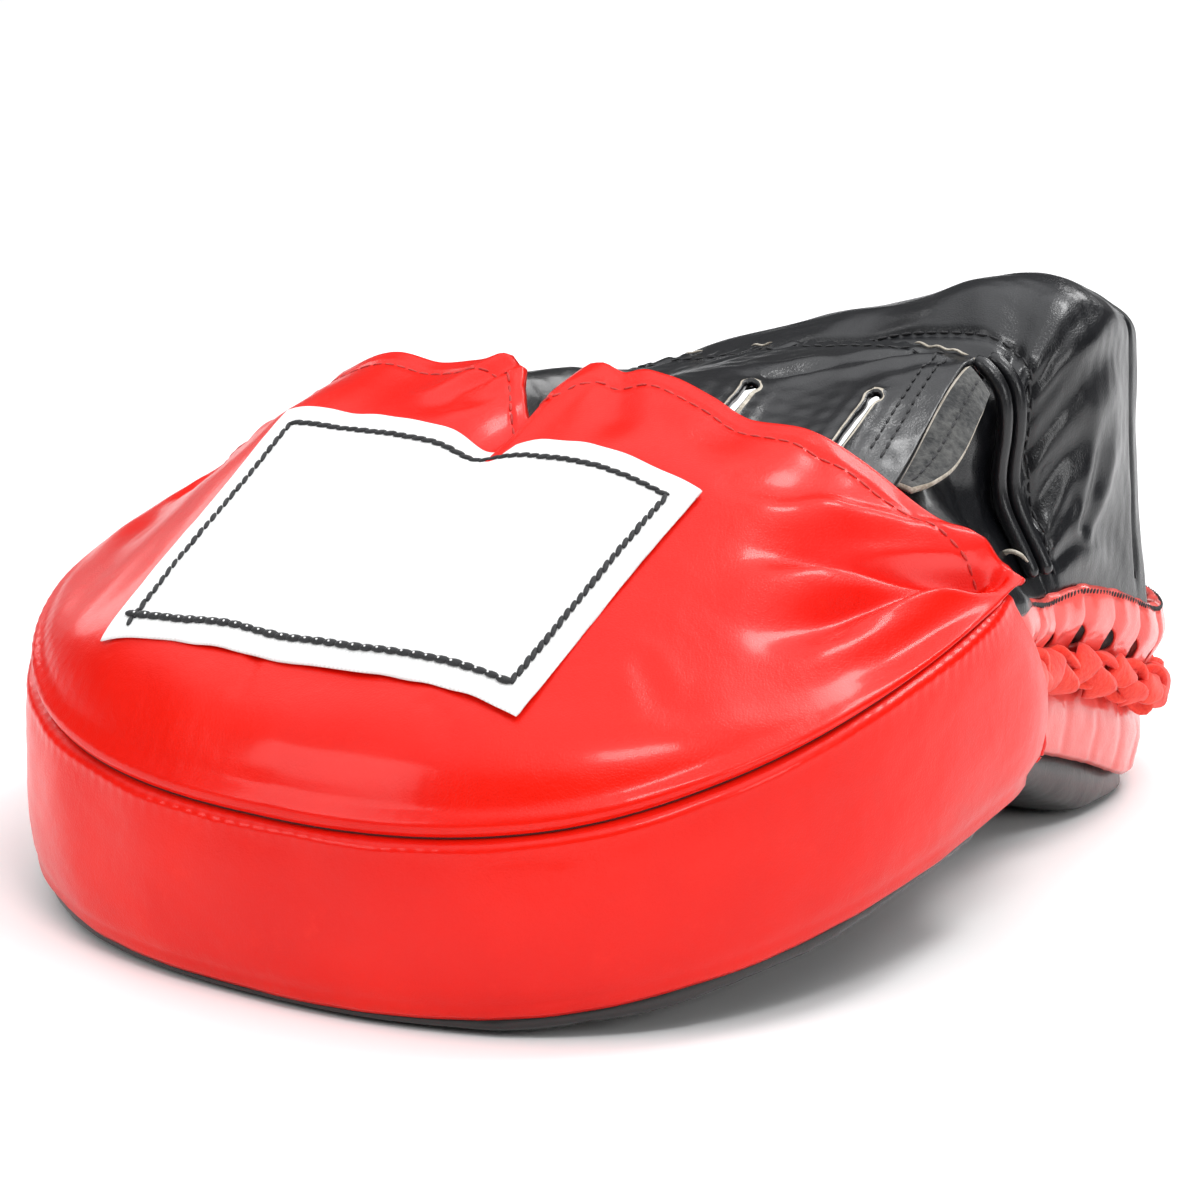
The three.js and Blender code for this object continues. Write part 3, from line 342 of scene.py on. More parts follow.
def pad_path():
    rows = list(front_quarter(-1)[::-1]) + list(front_quarter(1)[1:])
    rows += [waist_point(1, i / 6) for i in range(1, 6)]
    rows += list(heel_quarter(1)[::-1]) + list(heel_quarter(-1)[1:])
    rows += [waist_point(-1, i / 6) for i in range(5, 0, -1)]
    return np.array(rows + [rows[0]])


def dense(points, steps=12):
    """Smooth curve through points, by centripetal steps between them."""
    points = np.asarray(points, float)
    ends = np.vstack([2 * points[0] - points[1], points, 2 * points[-1] - points[-2]])
    rows = []
    for i in range(len(points) - 1):
        p0, p1, p2, p3 = ends[i:i + 4]
        d = [max(np.linalg.norm(b - a) ** 0.5, 1e-4) for a, b in ((p0, p1), (p1, p2), (p2, p3))]
        m1 = ((p1 - p0) / d[0] - (p2 - p0) / (d[0] + d[1]) + (p2 - p1) / d[1]) * d[1]
        m2 = ((p2 - p1) / d[1] - (p3 - p1) / (d[1] + d[2]) + (p3 - p2) / d[2]) * d[1]
        rows += [hermite(p1, p2, m1, m2, k / steps) for k in range(steps)]
    rows.append(points[-1])
    return np.array(rows)


def stations(points, count):
    """Even places round a plan path, each with its outward direction."""
    line = dense(points)
    far = run_of(line)
    at = np.linspace(0, far[-1], count + 1)
    ahead = along_line(np.minimum(at + 0.4, far[-1]), far, line)
    behind = along_line(np.maximum(at - 0.4, 0), far, line)
    tangent = unit(ahead - behind)
    return along_line(at, far, line)[:-1], np.stack([tangent[:, 1], -tangent[:, 0]], 1)[:-1]


SEAM_HALF = MITT_WIDTH / 2 - BAND_BULGE - SEAM_PINCH


def seam_y(x):
    share = np.minimum(np.abs(x) / SEAM_HALF, 1)
    bend = (1 - share ** FRONT_SQUARENESS) ** (1 / FRONT_SQUARENESS)
    return WIDEST_Y - (FRONT_DEPTH - BAND_BULGE - SEAM_PINCH) * bend


def seam_out(x):
    """Plan direction outwards across the hood's seam."""
    share = np.abs(x / SEAM_HALF)
    lean = np.stack([np.sign(x) * share ** LEAN_POWER, -(1 - share ** FRONT_SQUARENESS) ** LEAN_ROUND], -1)
    return lean / np.maximum(np.linalg.norm(lean, axis=-1, keepdims=True), TINY)


def hood_edge_y(x):
    across = across_of(x)
    straight = lerp(HOOD_EDGE, HOOD_CORNER, read(EDGE, "across", "back", across))
    return FRONT_Y + straight + HOOD_EDGE_WAVE * read(EDGE, "across", "wave", across)


# Folds in the hood leather: plan points from the pull outwards, depth (below zero for a ridge) and width in
# millimetres, and the share of the roll beside the fold
FOLDS = (
    (((95, -13), (83, -28), (71, -45), (62, -62)), 4.8, 3.6, 0.7),
    (((95, -16), (85, -33), (78, -54), (68, -76)), 4.0, 3.3, 0.7),
    (((95, -13), (84, -27), (74, -42), (66, -53)), 2.2, 1.3, 0.3),
    (((96, -18), (88, -31), (81, -47), (76, -60)), 2.0, 1.3, 0.3),
    (((92, -20), (80, -40), (73, -58), (66, -84)), -1.6, 5.0, 0),
    (((96, -24), (92, -44), (84, -64)), 1.4, 4.0, 0.3),
    (((60, -26), (62, -36), (66, -48)), 0.8, 4.0, 0.2),
    (((71, -22), (70, -28), (67, -36)), 0.35, 3.4, 0.1),
    (((79, -22), (76, -27), (70, -35)), 0.3, 3.0, 0.1),
    (((52, -45), (59, -40), (66, -42)), 0.5, 3.4, 0.2),
    (((-12, -24), (-16, -33), (-18, -42), (-22, -48)), 2.2, 3.0, 0.5),
    (((-7, -28), (-11, -38), (-13, -46)), 1.6, 2.4, 0.5),
    (((14, -26), (20, -36), (27, -50)), 1.4, 3.6, 0.4),
    (((-11, -118), (-12, -109), (-2, -104), (8, -108)), 0.5, 1.8, 0.6),
    (((29, -113), (36, -117), (44, -117)), 0.6, 2.2, 0.6),
    (((60, -88), (68, -92), (76, -84)), 0.5, 3.0, 0.5),
    (((-96, -14), (-83, -32), (-66, -50), (-56, -62)), 3.0, 4.4, 0.5),
    (((-94, -22), (-84, -46), (-68, -72)), 2.4, 4.4, 0.5),
    (((-62, -22), (-60, -36), (-56, -48)), 1.2, 3.4, 0.5),
)


def crease(x, y, points, depth, width, lip):
    """Depth of a fold beside a plan path, with soft rolls at both sides, fading at its far end."""
    line = dense(points, 6)
    far = run_of(line)
    best = np.full(np.shape(x), FAR_OFF)
    share = np.zeros(np.shape(x))
    for k in range(len(line) - 1):
        a, b = line[k], line[k + 1]
        run = b - a
        t = np.clip(((x - a[0]) * run[0] + (y - a[1]) * run[1]) / (run @ run), 0, 1)
        off = np.hypot(x - a[0] - t * run[0], y - a[1] - t * run[1])
        closer = off < best
        best = np.where(closer, off, best)
        share = np.where(closer, (far[k] + t * (far[k + 1] - far[k])) / far[-1], share)
    ratio = best / (width * (0.75 + 0.7 * share))
    fade = 1 - smooth(share, 0.55, 1.0)
    return depth * fade * (np.exp(-ratio ** 2) - lip * np.exp(-(ratio - 1.9) ** 2 * 1.6) * 0.6)


def hood_z(x, y, fine=True):
    x, y = np.asarray(x, float), np.asarray(y, float)
    seam = seam_y(x)
    edge = hood_edge_y(x)
    back = np.clip((y - seam) / np.maximum(edge - seam, 1e-6), 0, 1)
    base = lift(x, y) + front_band_height(y) + GAP
    notch_back = np.maximum(hood_edge_y(0) - y, 0) / NOTCH_LENGTH
    notch = NOTCH_DEPTH * np.exp(-((x / NOTCH_WIDTH) ** 2) - notch_back ** 2)
    droop = HOOD_RISE * read(EDGE, "across", "droop", across_of(x)) * smooth(back, HOOD_DROOP_FROM, 1)
    height = HOOD_RISE * read(CREST, "across", "rise", across_of(x)) * read(RISE, "back", "rise", back)
    rim = smooth(1 - np.abs(across_of(x)), 0.02, 0.1)
    folds = 0
    if fine:
        folds = sum(crease(x, y, *fold) for fold in FOLDS) * smooth(back, 0, 0.2) * rim
    return base + height - notch - droop - folds


def heel_top(x, y):
    return lift(x, y) + heel_band_height(y)


def under_hood(x, y):
    return hood_z(x, np.minimum(y, hood_edge_y(x)), False) - LEATHER * SLOPE_ROOM - GAP * 2


def panel_point(across, back):
    across, back = both(across, back)
    x = across * (PANEL_HALF_WIDTH + lerp(PANEL_FLARE, 0, back))
    start = hood_edge_y(x) - PANEL_TUCK
    corner = PANEL_CORNER * np.maximum(np.abs(across) - 0.8, 0) / 0.2
    end = PANEL_END_Y - corner * np.where(across > 0, 1, 0.5)
    y = lerp(start, end, back)
    roof = heel_top(0, PANEL_END_Y) + PANEL_RISE * read(ROOF, "across", "rise", across)
    clear = smooth(y, hood_edge_y(x), PANEL_END_Y - PANEL_LEVEL)
    return np.stack([x, y, lerp(under_hood(x, y), roof, clear)], -1)


def cuff_point(row, back):
    """Outer face of the cuff: row runs from the near foot over the roof to the far foot."""
    row, back = both(row, back)
    parts = {}
    for name in ("across", "up"):
        front, middle, rear = (read(CUFF, "row", at + name, row) for at in ("front_", "middle_", "rear_"))
        first = back <= CUFF_MIDDLE_AT
        t = np.where(first, back / CUFF_MIDDLE_AT, (back - CUFF_MIDDLE_AT) / (1 - CUFF_MIDDLE_AT))
        through = (rear - front) * np.where(first, CUFF_MIDDLE_AT, 1 - CUFF_MIDDLE_AT)
        parts[name] = hermite(np.where(first, front, middle), np.where(first, middle, rear),
                              np.where(first, middle - front, through),
                              np.where(first, through, rear - middle), t)
    y = CUFF_START_Y + CUFF_LENGTH * back
    foot = heel_top(CUFF_HALF_WIDTH * np.where(parts["across"] < 0, -1, 1), y)
    level = lerp(heel_top(0, y), foot, np.abs(parts["across"]) ** 3)
    return np.stack([CUFF_HALF_WIDTH * parts["across"], y, level + GAP + CUFF_RISE * parts["up"]], -1)


def in_scene(name, data):
    obj = bpy.data.objects.new(name, data)
    bpy.context.scene.collection.objects.link(obj)
    return obj


def look_through(azimuth, elevation, roll, distance, aim, lens):
    """Camera at an angle round the aim point, in the frame's metres."""
    azimuth, elevation, roll = (math.radians(v) for v in (azimuth, elevation, roll))
    back = Vector((math.sin(azimuth) * math.cos(elevation),
                   -math.cos(azimuth) * math.cos(elevation), math.sin(elevation)))
    level = Vector((math.cos(azimuth), math.sin(azimuth), 0))
    rise = back.cross(level)
    right = level * math.cos(roll) + rise * math.sin(roll)
    up = rise * math.cos(roll) - level * math.sin(roll)
    data = bpy.data.cameras.new("studio_camera")
    data.lens = lens
    data.sensor_width = 36
    data.sensor_height = 36
    data.sensor_fit = "HORIZONTAL"
    camera = in_scene("studio_camera", data)
    turn = Matrix((right, up, back)).transposed().to_4x4()
    camera.matrix_world = Matrix.Translation(Vector(aim) + back * distance) @ turn
    bpy.context.scene.camera = camera


look_through(32.313, 14.896, 1.585, 1.0, (0.011598, -0.027266, 0.058692), 149.12)


class Finish:
    """A node material, built up from named textures on object coordinates."""

    def __init__(self, name):
        self.material = bpy.data.materials.new(name)
        self.material.use_nodes = True
        self.nodes = self.material.node_tree.nodes
        self.links = self.material.node_tree.links
        self.nodes.clear()
        self.place = self.add("ShaderNodeTexCoord").outputs["Object"]
        self.shader = self.add("ShaderNodeBsdfPrincipled")
        output = self.add("ShaderNodeOutputMaterial")
        self.links.new(self.shader.outputs["BSDF"], output.inputs["Surface"])
        self.normal = None

    def add(self, kind, inputs=None, **settings):
        node = self.nodes.new(kind)
        for key, value in settings.items():
            setattr(node, key, value)
        for key, value in (inputs or {}).items():
            self.put(node.inputs[key], value)
        return node

    def put(self, socket, value):
        if isinstance(value, bpy.types.NodeSocket):
            self.links.new(value, socket)
        else:
            socket.default_value = value

    def noise(self, scale, detail=3.0, rough=0.55, distortion=0.0):
        return self.add("ShaderNodeTexNoise", {
            "Vector": self.place, "Scale": scale, "Detail": detail,
            "Roughness": rough, "Distortion": distortion}).outputs["Fac"]

    def cells(self, scale):
        return self.add("ShaderNodeTexVoronoi", {"Vector": self.place, "Scale": scale},
                        feature="DISTANCE_TO_EDGE").outputs["Distance"]

    def weave(self, scale, bands):
        return self.add("ShaderNodeTexWave", {"Vector": self.place, "Scale": scale, "Distortion": 0.6,
                                              "Detail": 1.0}, bands_direction=bands).outputs["Fac"]

    def span(self, value, low, high, to_low=0.0, to_high=1.0):
        return self.add("ShaderNodeMapRange", {"Value": value, "From Min": low, "From Max": high,
                                               "To Min": to_low, "To Max": to_high}).outputs["Result"]

    def blend(self, factor, a, b):
        return self.add("ShaderNodeMix", {0: factor, 6: a, 7: b}, data_type="RGBA").outputs[2]

    def sum(self, a, b, operation="ADD"):
        return self.add("ShaderNodeMath", {0: a, 1: b}, operation=operation).outputs[0]

    def bump(self, height, depth):
        inputs = {"Height": height, "Distance": depth, "Strength": 1.0}
        if self.normal is not None:
            inputs["Normal"] = self.normal
        self.normal = self.add("ShaderNodeBump", inputs).outputs["Normal"]

    def done(self, color, rough, **fixed):
        self.put(self.shader.inputs["Base Color"], color)
        self.put(self.shader.inputs["Roughness"], rough)
        if self.normal is not None:
            self.put(self.shader.inputs["Normal"], self.normal)
        for key, value in fixed.items():
            self.shader.inputs[key.replace("_", " ")].default_value = value
        return self.material


def leather(name, base, worn, deep, rough, wrinkle, coat, shine=0.5):
    """Finished leather: fine grain, soft wrinkles, uneven gloss and colour."""
    look = Finish(name)
    tone = look.blend(look.span(look.noise(24.0, 2.0), 0.35, 0.7), base, deep)
    rub = look.span(look.noise(150.0, 4.0, 0.65), 0.6, 0.85, 0.0, 0.3)
    tone = look.blend(rub, tone, worn)
    look.bump(look.noise(55.0, 2.0, 0.5, 0.4), 0.0007 * wrinkle)
    look.bump(look.noise(260.0, 2.0, 0.5, 1.2), 0.00010 * wrinkle)
    grain = look.cells(1500.0)
    look.bump(look.span(grain, 0.0, 0.25), 0.000025 * wrinkle)
    look.bump(look.noise(3600.0, 2.0), 0.000012)
    gloss = look.sum(look.span(look.noise(60.0, 3.0), 0.3, 0.7, rough - 0.04, rough + 0.05),
                     look.span(grain, 0.0, 0.2, 0.03, 0.0))
    return look.done(tone, gloss, Coat_Weight=coat, Coat_Roughness=0.14, Specular_IOR_Level=shine)


def woven(name, white, shade):
    look = Finish(name)
    cloth = look.sum(look.weave(330.0, "X"), look.weave(250.0, "Y"), "MULTIPLY")
    look.bump(cloth, 0.00012)
    look.bump(look.noise(900.0, 3.0), 0.00005)
    look.bump(look.noise(45.0, 2.0), 0.0005)
    tone = look.blend(look.span(cloth, 0.0, 0.7), shade, white)
    tone = look.blend(look.span(look.noise(35.0, 3.0), 0.4, 0.75, 0.0, 0.3), tone, shade)
    return look.done(tone, look.span(cloth, 0, 1, 0.85, 0.7), Sheen_Weight=0.25)


def fibre(name, base, light, rough=0.75, sheen=0.3, scale=1500.0, fuzz=0.00012):
    """Thread, suede and raw leather: matt, with fine fibres."""
    look = Finish(name)
    fine = look.noise(scale, 3.0, 0.7)
    nap = look.noise(scale * 0.16, 3.0, 0.6)
    tone = look.blend(look.span(look.sum(fine, nap), 0.8, 1.3), base, light)
    look.bump(nap, fuzz * 3)
    look.bump(fine, fuzz)
    return look.done(tone, look.span(nap, 0.3, 0.7, rough - 0.06, rough + 0.08), Sheen_Weight=sheen)


RED = leather("red_leather", (0.80, 0.009, 0.002, 1), (0.86, 0.024, 0.008, 1), (0.70, 0.005, 0.001, 1),
              0.32, 0.8, 0.26, 0.14)
# Heel band leather: the same red leather with a paler pink base and rub colour. This is painted light, standing
# in for the light and gloss on the band's right-facing side
RED_HEEL_PAINTED_LIGHT = leather("red_heel_leather_painted_light", (0.86, 0.09, 0.07, 1), (0.90, 0.18, 0.15, 1), (0.78, 0.05, 0.04, 1),
                   0.34, 1.0, 0.6, 0.8)
BLACK = leather("black_leather", (0.005, 0.0055, 0.007, 1), (0.02, 0.022, 0.026, 1), (0.003, 0.003, 0.004, 1),
                0.30, 0.9, 0.25, 0.42)
BLACK_FACE = leather("black_face_leather", (0.008, 0.008, 0.008, 1), (0.02, 0.019, 0.018, 1),
                     (0.004, 0.004, 0.004, 1), 0.36, 0.8, 0.2, 0.5)
LABEL = woven("white_woven_label", (0.96, 0.96, 0.95, 1), (0.84, 0.84, 0.83, 1))
SUEDE = fibre("red_lace_suede", (0.80, 0.020, 0.008, 1), (0.93, 0.070, 0.035, 1), 0.9, 0.2, 900.0, 0.0002)
FLESH = fibre("grey_flesh_side", (0.012, 0.013, 0.014, 1), (0.10, 0.10, 0.095, 1), 0.9, 0.2, 700.0, 0.0003)
CREAM = fibre("cream_raw_edge", (0.30, 0.26, 0.20, 1), (0.66, 0.61, 0.52, 1), 0.85, 0.1, 1600.0)
BLACK_THREAD = fibre("black_thread", (0.004, 0.004, 0.005, 1), (0.02, 0.02, 0.023, 1), 0.6, 0.1, 2600.0)
RED_THREAD = fibre("red_thread", (0.42, 0.006, 0.004, 1), (0.62, 0.03, 0.02, 1), 0.55, 0.1, 2600.0)
# Near-black red for the tube in the hood seam's groove: painted shade in place of the groove's shadow
PAINTED_SEAM_SHADE = fibre("painted_seam_shade", (0.030, 0.001, 0.001, 1), (0.10, 0.004, 0.003, 1), 0.8, 0.0, 2600.0)


def as_object(name, verts, faces, materials, marks=None, recalc=True):
    """A smooth mesh at the origin from points in millimetres."""
    mesh = bpy.data.meshes.new(name)
    mesh.from_pydata((np.asarray(verts) * MM).tolist(), [], faces)
    for material in materials:
        mesh.materials.append(material)
    if marks is not None:
        mesh.polygons.foreach_set("material_index", marks)
    mesh.polygons.foreach_set("use_smooth", [True] * len(mesh.polygons))
    mesh.update()
    if recalc:
        face_out(mesh)
    return in_scene(name, mesh)


def face_out(mesh):
    work = bmesh.new()
    work.from_mesh(mesh)
    bmesh.ops.recalc_face_normals(work, faces=work.faces)
    work.to_mesh(mesh)
    work.free()


def inward(grid, wall, inside):
    """The same grid moved by a wall's thickness towards an inside point."""
    normal = np.cross(np.gradient(grid, axis=0), np.gradient(grid, axis=1))
    normal /= np.maximum(np.linalg.norm(normal, axis=2, keepdims=True), TINY)
    if np.sum(normal * (grid - np.asarray(inside, float))) < 0:
        normal = -normal
    return grid - normal * wall


def rings_object(name, rings, start, end, materials):
    """Closed body over rings of points, with a point at each end."""
    rings = np.asarray(rings)
    count, around = rings.shape[:2]
    verts = list(rings.reshape(-1, 3)) + [start, end]
    faces = []
    for j in range(around):
        k = (j + 1) % around
        faces.append((count * around, j, k))
        for i in range(count - 1):
            faces.append((i * around + j, (i + 1) * around + j, (i + 1) * around + k, i * around + k))
        last = (count - 1) * around
        faces.append((last + j, count * around + 1, last + k))
    return as_object(name, verts, faces, materials)


def tube(name, points, radius, materials, sides=12, oval=1.0):
    """Round piping along points, closed at both ends."""
    points = np.asarray(points, float)
    tangent = unit(np.gradient(points, axis=0))
    side = unit(np.cross(tangent, (0, 0.3, 1.0)))
    rise = np.cross(side, tangent)
    radius = np.broadcast_to(np.asarray(radius, float), (len(points),))
    angles = 2 * np.pi * np.arange(sides) / sides
    flat, tall = np.cos(angles)[:, None], oval * np.sin(angles)[:, None]
    rings = [points[k] + radius[k] * (flat * side[k] + tall * rise[k]) for k in range(len(points))]
    return rings_object(name, rings, points[0] - tangent[0] * radius[0] * 0.4,
                        points[-1] + tangent[-1] * radius[-1] * 0.4, materials)


def ripple(x, y, wave, size, seed):
    """Low uneven swell of leather, from a few seeded waves."""
    random = np.random.default_rng(seed)
    total = 0
    for _ in range(7):
        angle = random.uniform(0, 2 * np.pi)
        length = wave * random.uniform(0.6, 1.6)
        phase = random.uniform(0, 2 * np.pi)
        total = total + np.sin(2 * np.pi * (x * np.cos(angle) + y * np.sin(angle)) / length + phase)
    return size * total / 7 ** 0.5


def ride(piece):
    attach(piece, "root")


def settle(piece, *nodes, slot):
    """The piece stands for its solids and moves with the mitt. The slot argument is not used."""
    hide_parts(*nodes)
    ride(piece)


def whole_faces(nu, nv, keep, offset=0, flip=False):
    i, j = np.nonzero(keep)
    a = i * nv + j + offset
    b = (i + 1) * nv + j + offset
    quads = np.stack([a, b, b + 1, a + 1], 1)
    return quads[:, ::-1] if flip else quads


def skin(name, outer, inner, materials, rim=0.5, rim_mark=lambda i, j: 0, holes=None, lips=None):
    """Closed sheet between two grids, with rounded rims round its sides and flatter ones in its holes.

    rim_mark gives the material of a cell's rim, and lips the cells whose top takes the second material."""
    nu, nv = outer.shape[:2]
    keep = np.ones((nu - 1, nv - 1), bool) if holes is None else ~holes
    half = nu * nv
    verts = list(outer.reshape(-1, 3)) + list(inner.reshape(-1, 3))
    top = whole_faces(nu, nv, keep)
    under = whole_faces(nu, nv, keep, half, True)
    faces = top.tolist() + under.tolist()
    marks = ([0] * len(top) if lips is None else lips[keep].astype(int).tolist()) + [0] * len(under)
    padded = np.zeros((nu + 1, nv + 1), bool)
    padded[1:-1, 1:-1] = keep
    sides = ((0, -1, (0, 0), (1, 0)), (1, 0, (1, 0), (1, 1)),
             (0, 1, (1, 1), (0, 1)), (-1, 0, (0, 1), (0, 0)))
    edges = []
    for di, dj, p, q in sides:
        open_side = keep & ~padded[1 + di:nu + di, 1 + dj:nv + dj]
        for i, j in zip(*np.nonzero(open_side)):
            edges.append(((i + p[0], j + p[1]), (i + q[0], j + q[1]), (i, j)))
    away = {}
    for p, q, (i, j) in edges:
        middle = outer[i:i + 2, j:j + 2].reshape(-1, 3).mean(0)
        run = outer[q] - outer[p]
        out = (outer[p] + outer[q]) / 2 - middle
        out = out - run * (out @ run) / max(run @ run, 1e-12)
        out = out / max(np.linalg.norm(out), TINY)
        for point in (p, q):
            away[point] = away.get(point, 0) + out
    middle_of = {}
    for point, out in away.items():
        o, n = outer[point], inner[point]
        out = out / max(np.linalg.norm(out), TINY)
        middle_of[point] = len(verts)
        side = point[0] in (0, nu - 1) or point[1] in (0, nv - 1)
        verts.append((o + n) / 2 + out * (rim if side else HOLE_RIM) * np.linalg.norm(o - n))
    for p, q, cell in edges:
        a, b = p[0] * nv + p[1], q[0] * nv + q[1]
        mark = rim_mark(*cell)
        faces.append((a, middle_of[p], middle_of[q], b))
        faces.append((middle_of[p], half + a, half + b, middle_of[q]))
        marks += [mark, mark]
    return as_object(name, verts, faces, materials, marks)


def plain(obj):
    """The evaluated object as a plain mesh, with its modifiers gone."""
    bpy.context.view_layer.update()
    ready = obj.evaluated_get(bpy.context.evaluated_depsgraph_get())
    mesh = bpy.data.meshes.new_from_object(ready)
    name = obj.name
    made = in_scene(name + "_made", mesh)
    bpy.data.objects.remove(obj, do_unlink=True)
    made.name = name
    mesh.name = name
    return made


def subdivide(obj, levels):
    change = obj.modifiers.new("round", "SUBSURF")
    change.levels = levels
    change.render_levels = levels
    made = plain(obj)
    made.data.polygons.foreach_set("use_smooth", [True] * len(made.data.polygons))
    return made


def push(obj, amount):
    """Moves each point along its normal by amount(x, y, z, normal), all in millimetres."""
    mesh = obj.data
    count = len(mesh.vertices)
    where = np.empty(count * 3)
    mesh.vertices.foreach_get("co", where)
    normal = np.empty(count * 3)
    mesh.vertices.foreach_get("normal", normal)
    where, normal = where.reshape(-1, 3) / MM, normal.reshape(-1, 3)
    where = where + normal * amount(where[:, 0], where[:, 1], where[:, 2], normal)[:, None]
    mesh.vertices.foreach_set("co", (where * MM).ravel())
    mesh.update()


def line_on(surface, a, b, pitch, raise_by=0.0, inside=MITT_INSIDE, trim=0.0):
    """Even places on a surface along a run of its two coordinates, with direction and normal."""
    a, b = both(a, b)
    step = 1e-3
    here = surface(a, b)
    du = surface(a + step, b) - surface(a - step, b)
    dv = surface(a, b + step) - surface(a, b - step)
    normal = np.cross(du, dv)
    normal /= np.maximum(np.linalg.norm(normal, axis=1), 1e-12)[:, None]
    normal *= np.sign(np.sum(normal * (here - np.asarray(inside, float)), axis=1))[:, None]
    far = run_of(here)
    count = max(int((far[-1] - 2 * trim) / pitch), 1)
    at = trim + (np.arange(count) + 0.5) * (far[-1] - 2 * trim) / count
    facing = unit(along_line(at, far, normal))
    ahead = along_line(np.minimum(at + 0.3, far[-1]), far, here)
    behind = along_line(np.maximum(at - 0.3, 0), far, here)
    return along_line(at, far, here) + facing * raise_by, unit(ahead - behind), facing


STITCH_SIZES = ("Stitch length", "Thread width", "Thread rise", "Turn", "Unevenness")
STITCH_NODES = {
    "given": ("NodeGroupInput", {}, {}),
    "made": ("NodeGroupOutput", {}, {}),
    "ball": ("GeometryNodeMeshUVSphere", {}, {"Segments": 8, "Rings": 6, "Radius": 0.5}),
    "upright": ("GeometryNodeTransform", {}, {"Rotation": (0, math.pi / 2, 0)}),
    "along": ("GeometryNodeInputNamedAttribute", {"data_type": "FLOAT_VECTOR"}, {"Name": "along"}),
    "away": ("GeometryNodeInputNamedAttribute", {"data_type": "FLOAT_VECTOR"}, {"Name": "away"}),
    "axes": ("FunctionNodeAxesToRotation", {"primary_axis": "Z", "secondary_axis": "X"}, {}),
    "size": ("ShaderNodeCombineXYZ", {}, {}),
    "chance": ("FunctionNodeRandomValue", {"data_type": "FLOAT_VECTOR"},
               {"Seed": 7, 0: (-1, -1, -1), 1: (1, 1, 1)}),
    "vary": ("ShaderNodeVectorMath", {"operation": "MULTIPLY_ADD"}, {1: (1, 1, 1), 2: (1, 1, 1)}),
    "spread": ("ShaderNodeVectorMath", {"operation": "SCALE"}, {}),
    "sized": ("ShaderNodeVectorMath", {"operation": "MULTIPLY"}, {}),
    "set_in": ("GeometryNodeInstanceOnPoints", {}, {}),
    "turned": ("GeometryNodeRotateInstances", {}, {}),
    "lean": ("ShaderNodeCombineXYZ", {}, {}),
    "real": ("GeometryNodeRealizeInstances", {}, {}),
    "soft": ("GeometryNodeSetShadeSmooth", {}, {}),
    "coat": ("GeometryNodeSetMaterial", {}, {}),
}
STITCH_LINKS = (
    ("ball", "Mesh", "upright", "Geometry"), ("given", "Row", "set_in", "Points"),
    ("upright", "Geometry", "set_in", "Instance"), ("away", "Attribute", "axes", "Primary Axis"),
    ("along", "Attribute", "axes", "Secondary Axis"), ("axes", "Rotation", "set_in", "Rotation"),
    ("given", "Stitch length", "size", "X"), ("given", "Thread width", "size", "Y"),
    ("given", "Thread rise", "size", "Z"), ("chance", 0, "spread", 0),
    ("given", "Unevenness", "spread", "Scale"), ("spread", 0, "vary", 0), ("vary", 0, "sized", 0),
    ("size", 0, "sized", 1), ("sized", 0, "set_in", "Scale"), ("set_in", "Instances", "turned", "Instances"),
    ("given", "Turn", "lean", "Z"), ("lean", 0, "turned", "Rotation"),
    ("turned", "Instances", "real", "Geometry"), ("real", "Geometry", "soft", "Geometry"),
    ("soft", "Geometry", "coat", "Geometry"), ("given", "Thread", "coat", "Material"),
    ("coat", "Geometry", "made", "Stitches"),
)


def stitch_tree():
    """Places one small oval stitch at each point, along its direction, standing on its normal."""
    tree = bpy.data.node_groups.new("stitch_row", "GeometryNodeTree")
    sockets = [("Row", "INPUT", "Geometry")] + [(name, "INPUT", "Float") for name in STITCH_SIZES]
    for name, way, kind in sockets + [("Thread", "INPUT", "Material"), ("Stitches", "OUTPUT", "Geometry")]:
        tree.interface.new_socket(name=name, in_out=way, socket_type="NodeSocket" + kind)
    nodes = {}
    for name, (kind, settings, inputs) in STITCH_NODES.items():
        nodes[name] = tree.nodes.new(kind)
        for key, value in settings.items():
            setattr(nodes[name], key, value)
        for key, value in inputs.items():
            nodes[name].inputs[key].default_value = value
    for source, out, target, into in STITCH_LINKS:
        tree.links.new(nodes[source].outputs[out], nodes[target].inputs[into])
    return tree


STITCHES = stitch_tree()


def stitch(name, rows, length, width, rise, thread, turn=0.0):
    """One object of stitches from rows of (place, along, away), sizes in millimetres."""
    place = np.concatenate([row[0] for row in rows]) * MM
    mesh = bpy.data.meshes.new(name)
    mesh.from_pydata(place.tolist(), [], [])
    for key, column in (("along", 1), ("away", 2)):
        values = np.concatenate([row[column] for row in rows])
        field = mesh.attributes.new(key, "FLOAT_VECTOR", "POINT")
        field.data.foreach_set("vector", values.ravel())
    obj = in_scene(name, mesh)
    change = obj.modifiers.new("stitches", "NODES")
    change.node_group = STITCHES
    values = dict(zip(STITCH_SIZES, (length * MM, width * MM, rise * MM, turn, STITCH_UNEVENNESS)), Thread=thread)
    for item in STITCHES.interface.items_tree:
        if item.name in values:
            change[item.identifier] = values[item.name]
    return plain(obj)


